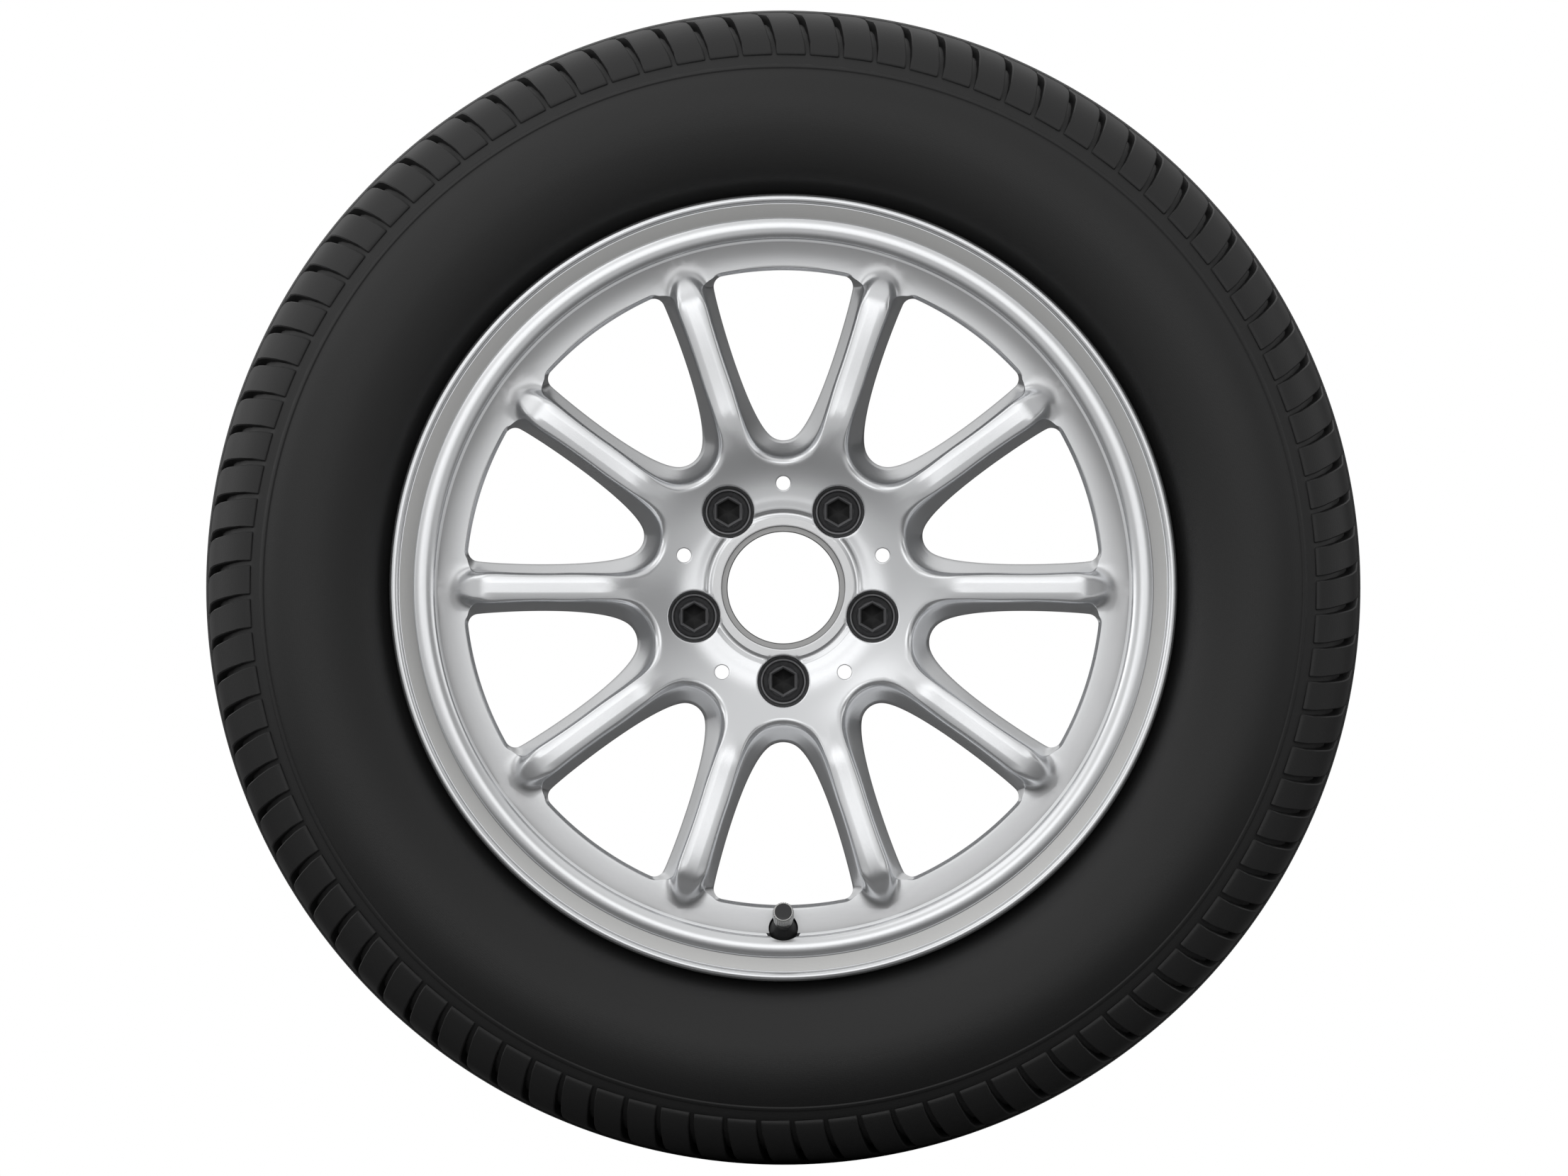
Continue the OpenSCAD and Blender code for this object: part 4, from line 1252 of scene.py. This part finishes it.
def shoulder_block(tyre):
    """One block between two curved grooves, with softened edges, as a closed shape."""
    pitch = 360 / tyre.blocks
    grow, shift = mm(tyre.radius) - DRAWN_R, mm(tyre.width) / 2 - DRAWN_HALF_W
    sections = []
    last = len(BLOCK_STATIONS) - 1
    for i, (r, y, angle, gap, foot_r, foot_y) in enumerate(BLOCK_STATIONS):
        before, after = BLOCK_STATIONS[max(0, i - 1)], BLOCK_STATIONS[min(last, i + 1)]
        run = Vector((after[0] - before[0], after[1] - before[1])).normalized()
        out = Vector((run.y, -run.x))
        half = math.degrees(gap / 2 / r)
        soft = math.degrees(0.7 / r)
        low, high = angle + half, angle + pitch - half
        edge = (r - 0.6 * out.x, y - 0.6 * out.y)
        section = [
            (foot_r, foot_y, low - soft * 0.4), (*edge, low), (r, y, low + soft),
            (r, y, high - soft), (*edge, high), (foot_r, foot_y, high + soft * 0.4),
        ]
        sections.append([(*on_circle(radius + grow, turn), place + shift)
                         for radius, place, turn in section])
    shape = Shape().rings(sections)
    shape.add(sections[0], [(5, 4, 3, 2, 1, 0)])
    shape.add(sections[-1], [(0, 1, 2, 3, 4, 5)])
    return shape.stood_up("shoulder_block", sharp=38)


# Where the tread's sipes end towards the shoulders and the side walls, in metres, how fast
# they slant across the tread and how dark they are
RIB_EDGE, TREAD_EDGE = (0.0555, 0.0545), (0.3395, 0.3405)
SIPE_SLANT = 38.0
SIPE_TONE = (0.003, 0.003, 0.003)


def tyre_rubber(tyre):
    """Matt black rubber with fine mould rings, and sipes across the tread ribs."""
    finish = Finish("tyre_rubber", {"Specular IOR Level": 0.5})
    r, y = finish.radius, finish.y
    clouds = finish.noise(finish.place, 22.0, 4.0)
    grain = finish.noise(finish.place, 900.0, 3.0)
    rings = finish.waves(r, 0.0011)
    across = finish.math("ABSOLUTE", y)
    tread = finish.rise(across, *RIB_EDGE) * finish.rise(r, *TREAD_EDGE)
    angle = finish.math("ARCTAN2", finish.x, finish.z)
    slant = angle * (tyre.blocks / (2 * math.pi)) + y * SIPE_SLANT
    phase = finish.math("FRACT", slant)
    sipe = finish.rise(finish.math("ABSOLUTE", phase - 0.5), 0.045, 0.030) * tread
    shade = finish.mix_colour(clouds, toned(tyre.rubber, 0.86), toned(tyre.rubber, 1.12))
    finish.set("Base Color", finish.mix_colour(sipe, shade, SIPE_TONE))
    finish.set("Roughness", 0.46 + clouds * 0.06 + grain * 0.06)
    finish.bump(rings * 0.05 * (1 - tread) + grain * 0.35 - sipe * 1.5, 0.00018)
    return finish.material


class WHEEL_OT_tyre(bpy.types.Operator):
    """Make the tyre: its carcass, tread ribs and two rows of shoulder blocks"""

    bl_idname = "wheel.tyre"
    bl_label = "Tyre"

    def execute(self, context):
        rim, tyre = context.scene.wheel_rim, context.scene.wheel_tyre
        profile = carcass_profile(CastFace(rim), rim, tyre)
        carcass = Shape().turned(profile, 360, closed=True).stood_up("tyre_moulding", sharp=28)
        check_closed(carcass)
        recipe = ring_recipe("shoulder_blocks", True, 0.0)
        set_out(carcass, recipe, shoulder_block(tyre), tyre.blocks, tyre_rubber(tyre))
        finish_piece(carcass, None, "wheel", "tyre_rubber", "tyre")
        return {"FINISHED"}


# Wheel bolts


def hexagon_r(flats, degrees):
    """Radius of a hexagon with corners up and down, at an angle."""
    off = (degrees + 30) % 60 - 30
    return flats / 2 / math.cos(math.radians(off))


# Rows of points in a turn of a thread, and points round a bolt's head and shank
THREAD_ROWS = 6
BOLT_POINTS, SHANK_POINTS = 72, 28
# Depth of the bolts' thread, height of the heads over their seats, and depth and share of the
# width across flats of the hexagon recesses
THREAD_DEPTH, HEAD_HEIGHT, SOCKET_DEPTH, SOCKET_SHARE = 0.92, 15, 7, 0.776
# Outer and root radius, pitch, start and end of the valve stem's thread
STEM_THREAD = (3.8, 3.38, 0.794, 25.0, 36.2)


def thread_rings(radius, root, pitch, low, high, columns):
    """Rings of a helical thread that fades out over one turn at both ends."""
    rows = int((high - low) / pitch * THREAD_ROWS)
    rings = []
    for j in range(rows + 1):
        z = low + (high - low) * j / rows
        fade = min(1.0, j / THREAD_ROWS, (rows - j) / THREAD_ROWS)
        ring = []
        for i in range(columns):
            phase = (z / pitch - i / columns) % 1
            crest = min(1.0, max(0.0, 2.6 * abs(phase - 0.5) - 0.2))
            ring.append((*on_circle(root + (radius - root) * crest * fade, 360 * i / columns), z))
        rings.append(ring)
    return rings


def bolt_shape(face, bolts):
    """One wheel bolt on its own axis."""
    shape = Shape()
    seat_z, collar_r = face.seat_z, face.seat_r
    shank = mm(bolts.shank_radius)
    root = shank - THREAD_DEPTH
    neck = shank - 0.2
    cone_low = seat_z - (collar_r - neck) / math.tan(math.radians(CONE_HALF_ANGLE))
    low, high = face.offset - mm(bolts.shank_out) + 0.5, face.offset + 0.6
    thread = thread_rings(shank, root, mm(bolts.pitch), low, high, SHANK_POINTS)
    ends = [ring_at(root - 0.6, z, SHANK_POINTS) for z in (low - 0.4, high + 0.4)]
    shape.rings([ends[0], *thread, ends[1]])
    for end in ends:
        shape.capped((0, 0, end[0][2]), end)
    shape.turned([
        (0, face.offset - 1.5), (neck - 0.5, face.offset - 1.5), (neck, face.offset - 0.8),
        (neck, cone_low - 0.4), (neck + 0.15, cone_low + 0.2), (collar_r - 0.2, seat_z - 0.3),
        (collar_r, seat_z + 0.1), (collar_r, seat_z + 1.9), (collar_r - 0.2, seat_z + 2.2),
        (collar_r - 0.5, seat_z + 2.3), (collar_r - 0.6, seat_z + 2.2),
        (collar_r - 2.4, seat_z + 2.95), (collar_r - 2.6, seat_z + 3), (0, seat_z + 3)],
        BOLT_POINTS)
    flats = mm(bolts.flats)
    recess = flats * SOCKET_SHARE
    top = seat_z + HEAD_HEIGHT
    floor_z = top - SOCKET_DEPTH

    def hexagon(across, height, inset=0.0):
        """A ring of a width across its flats."""
        turns = [360 * i / BOLT_POINTS for i in range(BOLT_POINTS)]
        return [(*on_circle(hexagon_r(across, a) - inset, a), height) for a in turns]

    # Across flats and depth below the top, from the outer chamfer in to the recess
    stages = ((flats, 0.45), (flats - 0.2, 0.22), (flats - 0.9, 0.02), (flats - 1.1, 0),
              (recess + 1.7, 0), (recess + 1.5, 0.03), (recess + 0.15, 0.38), (recess, 0.55))
    foot = hexagon(flats, seat_z + 2.4, 0.5)
    floor = hexagon(recess, floor_z)
    shape.rings([foot, hexagon(flats, seat_z + 3),
                 *[hexagon(across, top - below) for across, below in stages], floor])
    # The recess ends in six flat faces, as a drilled and pressed socket does
    step = BOLT_POINTS // 6
    for k in range(6):
        side = [floor[(step // 2 + step * k + i) % BOLT_POINTS] for i in range(step + 1)]
        shape.add([(0, 0, floor_z - 3), *side],
                  [(0, i, i + 1) for i in range(1, step + 1)], flat=True)
    return shape.capped((0, 0, seat_z + 2.4), foot)


# Where a bolt's hidden back, its recess and its turned collar start, in metres
BOLT_BACK = (-0.046, -0.040)
BOLT_RECESS, BOLT_RECESS_BAND = (0.0080, 0.0076), (-0.0713, -0.058)
BOLT_COLLAR = (0.0088, 0.0090)


def black_coating(bolts, circle_r):
    """Black coating on steel, worn lighter in places, with painted shade in the hexagon recesses
    and bare threads.
    """
    finish = Finish("black_coating", {"Metallic": 0.75})
    clouds = finish.noise(finish.place, 160.0, 4.0)
    grain = finish.noise(finish.place, 2400.0, 2.0)
    worn = finish.rise(clouds, 0.52, 0.72)
    shade = finish.mix_colour(worn * 0.5, tuple(bolts.coating), (0.11, 0.112, 0.115))
    away = finish.from_bolts(circle_r)
    # Painted shade: the inside of each bolt's hexagon recess goes nearly black
    deep = finish.rise(away, *BOLT_RECESS) * finish.between(finish.y, *BOLT_RECESS_BAND, 0.0001)
    shade = finish.mix_colour(deep * 0.9, shade, (0.004, 0.004, 0.004))
    turned = finish.waves(away, 0.00025) * finish.rise(away, *BOLT_COLLAR)
    behind = finish.rise(finish.y, *BOLT_BACK)
    finish.set("Base Color", finish.mix_colour(behind * 0.7, shade, (0.30, 0.31, 0.32)))
    finish.set("Roughness", 0.22 + clouds * 0.1 + grain * 0.06)
    finish.bump(grain * 0.5 + clouds + turned * 2, 0.00002)
    return finish.material


class WHEEL_OT_bolts(bpy.types.Operator):
    """Make the five wheel bolts with their threads and hexagon recesses"""

    bl_idname = "wheel.bolts"
    bl_label = "Wheel bolts"

    def execute(self, context):
        rim, bolts = context.scene.wheel_rim, context.scene.wheel_bolts
        pattern = bolt_shape(CastFace(rim), bolts).stood_up("bolt_pattern", sharp=26)
        piece = linked("wheel_bolts", bpy.data.meshes.new("wheel_bolts"))
        coating = black_coating(bolts, rim.bolt_circle)
        set_out(piece, ring_recipe("bolt_circle", False, 0.0), pattern, BOLTS, coating,
                rim.bolt_circle, math.radians(BOLT_TURN), 0.0)
        nodes = [f"wheel_bolt_{k + 1}" for k in range(BOLTS)]
        finish_piece(piece, None, "wheel", "bolt_steel", *nodes)
        return {"FINISHED"}


# Valve


def soft_rubber():
    """Matt black rubber of the valve and its seals."""
    finish = Finish("valve_rubber", {"Specular IOR Level": 0.35})
    clouds = finish.noise(finish.place, 300.0, 3.0)
    grain = finish.noise(finish.place, 3500.0, 2.0)
    finish.set("Base Color", finish.mix_colour(clouds, (0.026, 0.026, 0.027),
                                               (0.040, 0.040, 0.041)))
    finish.set("Roughness", 0.46 + clouds * 0.12)
    finish.bump(grain * 0.5 + clouds * 0.3, 0.00003)
    return finish.material


def plain_metal(name, colour, dark, rough):
    """Turned metal with fine marks and a slight change of tone."""
    finish = Finish(name, {"Metallic": 1.0})
    clouds = finish.noise(finish.place, 240.0, 3.0)
    marks = finish.noise(finish.place, 2800.0, 2.0)
    finish.set("Base Color", finish.mix_colour(clouds, tuple(colour), tuple(dark)))
    finish.set("Roughness", rough + clouds * 0.08 + marks * 0.06)
    finish.bump(marks, 0.000012)
    return finish.material


def gloss_plastic(name, colour):
    """Moulded plastic let into the cap, plain and glossy."""
    finish = Finish(name, {"Coat Roughness": 0.05})
    clouds = finish.noise(finish.place, 500.0, 2.0)
    finish.set("Base Color", finish.mix_colour(clouds, colour, toned(colour, 1.6)))
    finish.set("Roughness", 0.16 + clouds * 0.08)
    finish.set("Coat Weight", 0.4)
    finish.bump(clouds, 0.00001)
    return finish.material


def cap_sector(valve):
    """The cap's wall and end over one knurl, open at both sides so that its copies join."""
    half = 180 / valve.knurls
    radius = mm(valve.cap_radius)
    profile = [
        (3.95, 38.6, 0), (3.95, 25.4, 0), (4.25, 25.0, 0), (radius - 0.9, 25.0, 0),
        (radius - 0.8, 25.1, 0), (radius - 0.7, 25.4, 0), (radius - 0.5, 31.0, 0),
        (radius - 0.4, 31.4, 0), (radius - 0.08, 31.7, 0.1), (radius, 32.0, 0.25),
        (radius, 32.5, 0.5), (radius, 39.4, 0.5), (radius, 40.0, 0.5),
        (radius - 0.1, 40.4, 0.45), (radius - 0.35, 40.7, 0.35), (radius - 0.7, 40.95, 0.15),
        (5.32, 41.0, 0), (5.16, 40.92, 0), (5.15, 40.4, 0), (2.5, 40.4, 0), (0, 40.4, 0),
    ]
    shares = (-1, -0.62, -0.3, 0, 0.3, 0.62, 1)
    cuts = (1, 0.42, 0.05, 0, 0.05, 0.42, 1)
    columns = []
    for share, cut in zip(shares, cuts):
        columns.append([(*on_circle(r - depth * cut, half * share), z)
                        for r, z, depth in profile])
    shape = Shape()
    rows = len(profile)
    points = [p for column in columns for p in column]
    faces = []
    for c in range(len(columns) - 1):
        for k in range(rows - 2):
            a, b = c * rows + k, (c + 1) * rows + k
            faces.append((a, b, b + 1, a + 1))
        a, b = c * rows + rows - 2, (c + 1) * rows + rows - 2
        faces.append((a, b, a + 1))
        faces.append((c * rows, len(points), (c + 1) * rows))
    return shape.add([*points, (0, 0, profile[0][1])], faces)


def threaded_stem():
    """Brass stem with its thread for the cap, hollow for the core."""
    columns = 40
    outside = [(0.95, -12.5), (3.6, -12.5), (3.85, -12.2), (3.85, 24.4), (3.4, 24.9)]
    inside = [(3.35, 36.5), (3.1, 37), (2.7, 37), (2.6, 36.8), (2.6, 25.5), (2.1, 23.5),
              (1.5, 22.9), (1.5, 10), (0.95, 10)]
    loops = [ring_at(r, z, columns) for r, z in outside]
    loops += thread_rings(*STEM_THREAD, columns)
    loops += [ring_at(r, z, columns) for r, z in inside]
    return Shape().rings(loops, closed=True)


class WHEEL_OT_valve(bpy.types.Operator):
    """Make the valve's rubber, threaded stem, knurled cap and the disc in its end"""

    bl_idname = "wheel.valve"
    bl_label = "Valve"

    def execute(self, context):
        valve = context.scene.wheel_valve
        place = at_valve(valve.lean)
        body = Shape().turned(rounded([
            (3.85, -11, 0), (6.5, -11, 0.8), (9.1, -5.3, 0.8), (9.15, -4.02, 0.1),
            (5.63, -4.02, 0.05), (5.63, 0.02, 0.05), (8.2, 0.02, 0.12), (8.35, 1.2, 0.4),
            (8.35, 8.2, 2), (6.7, 13.6, 3), (6.0, 19, 3), (5.6, 22.6, 0.7), (4.9, 23, 0.2),
            (3.85, 23, 0)], 4), 72, closed=True).moved(place)
        finish_piece(body.stood_up("valve_rubber_body", sharp=34), soft_rubber(), "wheel",
                     "valve_rubber", "valve_body")
        stem = threaded_stem().moved(place).stood_up("valve_threaded_stem")
        brass = plain_metal("brass", valve.brass, (0.52, 0.34, 0.12), 0.24)
        finish_piece(stem, brass, "wheel", "brass", "valve_stem")
        self.make_cap(valve, place)
        lens = Shape().turned([
            (0, 40.41), (4.9, 40.42), (5.08, 40.47), (5.08, 40.72), (4.95, 40.86),
            (4.6, 40.93), (3.5, 40.97), (0, 41.0)], 72)
        disc = lens.moved(place).stood_up("valve_cap_lens", sharp=40)
        finish_piece(disc, gloss_plastic("cap_disc_black", (0.007, 0.007, 0.008)), "cap",
                     "cap_disc", "valve_cap_disc")
        self.dress_core(brass)
        return {"FINISHED"}

    def make_cap(self, valve, place):
        """Set the knurl sector round the wheel axis, then move the cap to its place."""
        sector = cap_sector(valve).stood_up("cap_sector", sharp=30)
        cap = linked("valve_knurled_cap", bpy.data.meshes.new("knurled_cap"))
        metal = plain_metal("cap_metal", valve.cap_colour, (0.52, 0.52, 0.51), 0.26)
        recipe = ring_recipe("knurled_cap", False, KNURL_MERGE)
        set_out(cap, recipe, sector, valve.knurls, metal)
        upright = Matrix.Rotation(math.radians(90), 4, "X")
        scale = Matrix.Scale(0.001, 4)
        cap.data.transform(upright @ scale @ place @ scale.inverted() @ upright.inverted())
        face_outward(cap.data)
        smoothed(cap.data, 28)
        finish_piece(cap, None, "cap", "cap_metal", "valve_cap")

    def dress_core(self, brass):
        """Better materials for the core's own solids, which stay."""
        steel = plain_metal("spring_steel", (0.58, 0.58, 0.57), (0.42, 0.42, 0.42), 0.22)
        black = soft_rubber()
        red = gloss_plastic("gasket_red", (0.32, 0.03, 0.02))
        for name, material in (
            ("valve_core_body", brass), ("valve_core_pin", brass),
            ("valve_core_spring", steel), ("valve_core_gasket", red),
            ("valve_core_seal", black), ("valve_cap_seal", black),
        ):
            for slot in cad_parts[name].material_slots:
                slot.material = material


# Studio


FLOOR_REACH = 6.0
# What all but camera rays see of the floor: painted shade under the wheel that grows pale in
# front of it, with a paler strip of painted light under its face. Places along y, in metres.
FLOOR_AHEAD, FLOOR_STRIP = (-0.22, -1.15), (-0.3, -0.06)
FLOOR_SHADE, FLOOR_PALE = (0.11, 0.11, 0.11), (0.64, 0.64, 0.64)
# What all but camera rays see of the surround. Pairs are parts of a direction of length 1, from
# no light to full light. The light grows with height, tilted to one side, and differs before
# and behind the wheel. A bright spot lies straight ahead, and wings lie at both sides.
UP_TILT, SIDE_TILT = 0.94, 0.34
FRONT_RISE, FRONT_LOW, FRONT_GAIN = (-0.15, 0.5), 0.26, 0.5
BACK_LIGHT_RISE, BACK_LOW, BACK_GAIN = (-0.2, 0.7), 0.05, 0.8
SPOT_RISE, SPOT_GAIN = (-0.84, -0.975), 0.86
WINGS_RISE, WINGS_GAIN = (0.80, 0.95), 0.85
FRONT_SHARE = (0.35, -0.35)

# The camera stands where the photograph's centre falls on the wheel
CAMERA_SPOT = (0.00042, -3.0, -0.0002)
# Name, place, size and share of the key lamp's power
LAMPS = (("key", (-1.5, -1.7, 1.9), 1.8, 1.0), ("top", (-0.5, 0.4, 2.3), 1.6, 0.6))


class WHEEL_OT_studio(bpy.types.Operator):
    """Set up the pale floor, the soft lamps, the surround and the camera"""

    bl_idname = "wheel.studio"
    bl_label = "Studio"

    def execute(self, context):
        studio = context.scene.wheel_studio
        self.floor(studio)
        self.surround(context.scene)
        for name, spot, size, share in LAMPS:
            light = bpy.data.lights.new(name, "AREA")
            light.size = size
            light.energy = studio.key_power * share
            lamp = linked(name, light)
            lamp.location = spot
            lamp.rotation_euler = (-Vector(spot)).to_track_quat("-Z", "Y").to_euler()
        camera = linked("camera", bpy.data.cameras.new("camera"))
        camera.data.type = "ORTHO"
        camera.data.ortho_scale = studio.frame_width
        camera.location = CAMERA_SPOT
        camera.rotation_euler = (math.radians(90), 0, 0)
        context.scene.camera = camera
        context.scene.view_settings.view_transform = "Standard"
        return {"FINISHED"}

    def floor(self, studio):
        """A wide plane that the tyre stands on, pale to the camera."""
        low, far = CAD_BOX[0][2], FLOOR_REACH
        mesh = bpy.data.meshes.new("floor")
        mesh.from_pydata([(-far, -far, low), (far, -far, low), (far, far, low), (-far, far, low)],
                         [], [(0, 1, 2, 3)])
        finish = Finish("studio_floor", {"Specular IOR Level": 0.2})
        clouds = finish.noise(finish.place, 3.0, 2.0)
        pale = tuple(studio.floor_colour)
        shown = finish.mix_colour(clouds, pale, toned(pale, 0.98))
        # Painted shade on the floor under the wheel and a strip of painted light in front of it,
        # seen only in reflections
        ahead = finish.rise(finish.y, *FLOOR_AHEAD)
        strip = finish.between(finish.y, *FLOOR_STRIP, 0.05) * 0.3
        hidden = finish.mix_colour(ahead + strip, FLOOR_SHADE, FLOOR_PALE)
        to_camera = finish.number("ShaderNodeLightPath")
        finish.set("Base Color", finish.mix_colour(to_camera, hidden, shown))
        finish.set("Roughness", 0.8 + clouds * 0.05)
        mesh.materials.append(finish.material)
        linked("floor", mesh)

    def surround(self, scene):
        """White to the camera. Other rays see soft light above and at the sides, and a spot."""
        world = bpy.data.worlds.new("studio")
        world.use_nodes = True
        scene.world = world
        graph = Graph(world.node_tree)
        graph.tree.nodes.clear()
        direction = graph.node("ShaderNodeTexCoord").outputs["Generated"]
        split = graph.node("ShaderNodeSeparateXYZ", None, {0: direction})
        x, y, z = (Amount(graph, out) for out in split.outputs)
        height = z * UP_TILT - x * SIDE_TILT
        spot = graph.rise(y, *SPOT_RISE) * SPOT_GAIN
        before = FRONT_LOW + graph.rise(height, *FRONT_RISE) * FRONT_GAIN + spot
        behind = BACK_LOW + graph.rise(height, *BACK_LIGHT_RISE) * BACK_GAIN
        wings = graph.rise(graph.math("ABSOLUTE", x), *WINGS_RISE) * WINGS_GAIN
        light = behind + (before - behind) * graph.rise(y, *FRONT_SHARE) + wings
        to_camera = graph.number("ShaderNodeLightPath")
        background = graph.node("ShaderNodeBackground", None, {
            "Color": (1, 1, 1, 1), "Strength": to_camera + (1 - to_camera) * light})
        output = graph.node("ShaderNodeOutputWorld")
        graph.tree.links.new(background.outputs[0], output.inputs[0])


# Add-on


class WHEEL_PT_panel(bpy.types.Panel):
    """Sizes, colours and the pieces of the wheel"""

    bl_label = "Alloy Wheel"
    bl_idname = "WHEEL_PT_panel"
    bl_space_type = "VIEW_3D"
    bl_region_type = "UI"
    bl_category = "Wheel"

    def draw(self, context):
        for group, _, operator in GROUPS:
            box = self.layout.box()
            box.label(text=operator.bl_label)
            settings = getattr(context.scene, group)
            for name in settings.__annotations__:
                box.prop(settings, name)
            box.operator(operator.bl_idname)


GROUPS = (
    ("wheel_rim", RimSettings, WHEEL_OT_rim),
    ("wheel_tyre", TyreSettings, WHEEL_OT_tyre),
    ("wheel_bolts", BoltSettings, WHEEL_OT_bolts),
    ("wheel_valve", ValveSettings, WHEEL_OT_valve),
    ("wheel_studio", StudioSettings, WHEEL_OT_studio),
)
CLASSES = (
    *[settings for _, settings, _ in GROUPS],
    *[operator for _, _, operator in GROUPS],
    WHEEL_PT_panel,
)


def register():
    for cls in CLASSES:
        bpy.utils.register_class(cls)
    for name, settings, _ in GROUPS:
        setattr(bpy.types.Scene, name, bpy.props.PointerProperty(type=settings))


def unregister():
    for name, _, _ in GROUPS:
        delattr(bpy.types.Scene, name)
    for cls in reversed(CLASSES):
        bpy.utils.unregister_class(cls)


def main():
    register()
    bpy.ops.wheel.rim()
    bpy.ops.wheel.tyre()
    bpy.ops.wheel.bolts()
    bpy.ops.wheel.valve()
    bpy.ops.wheel.studio()


if __name__ == "__main__":
    main()
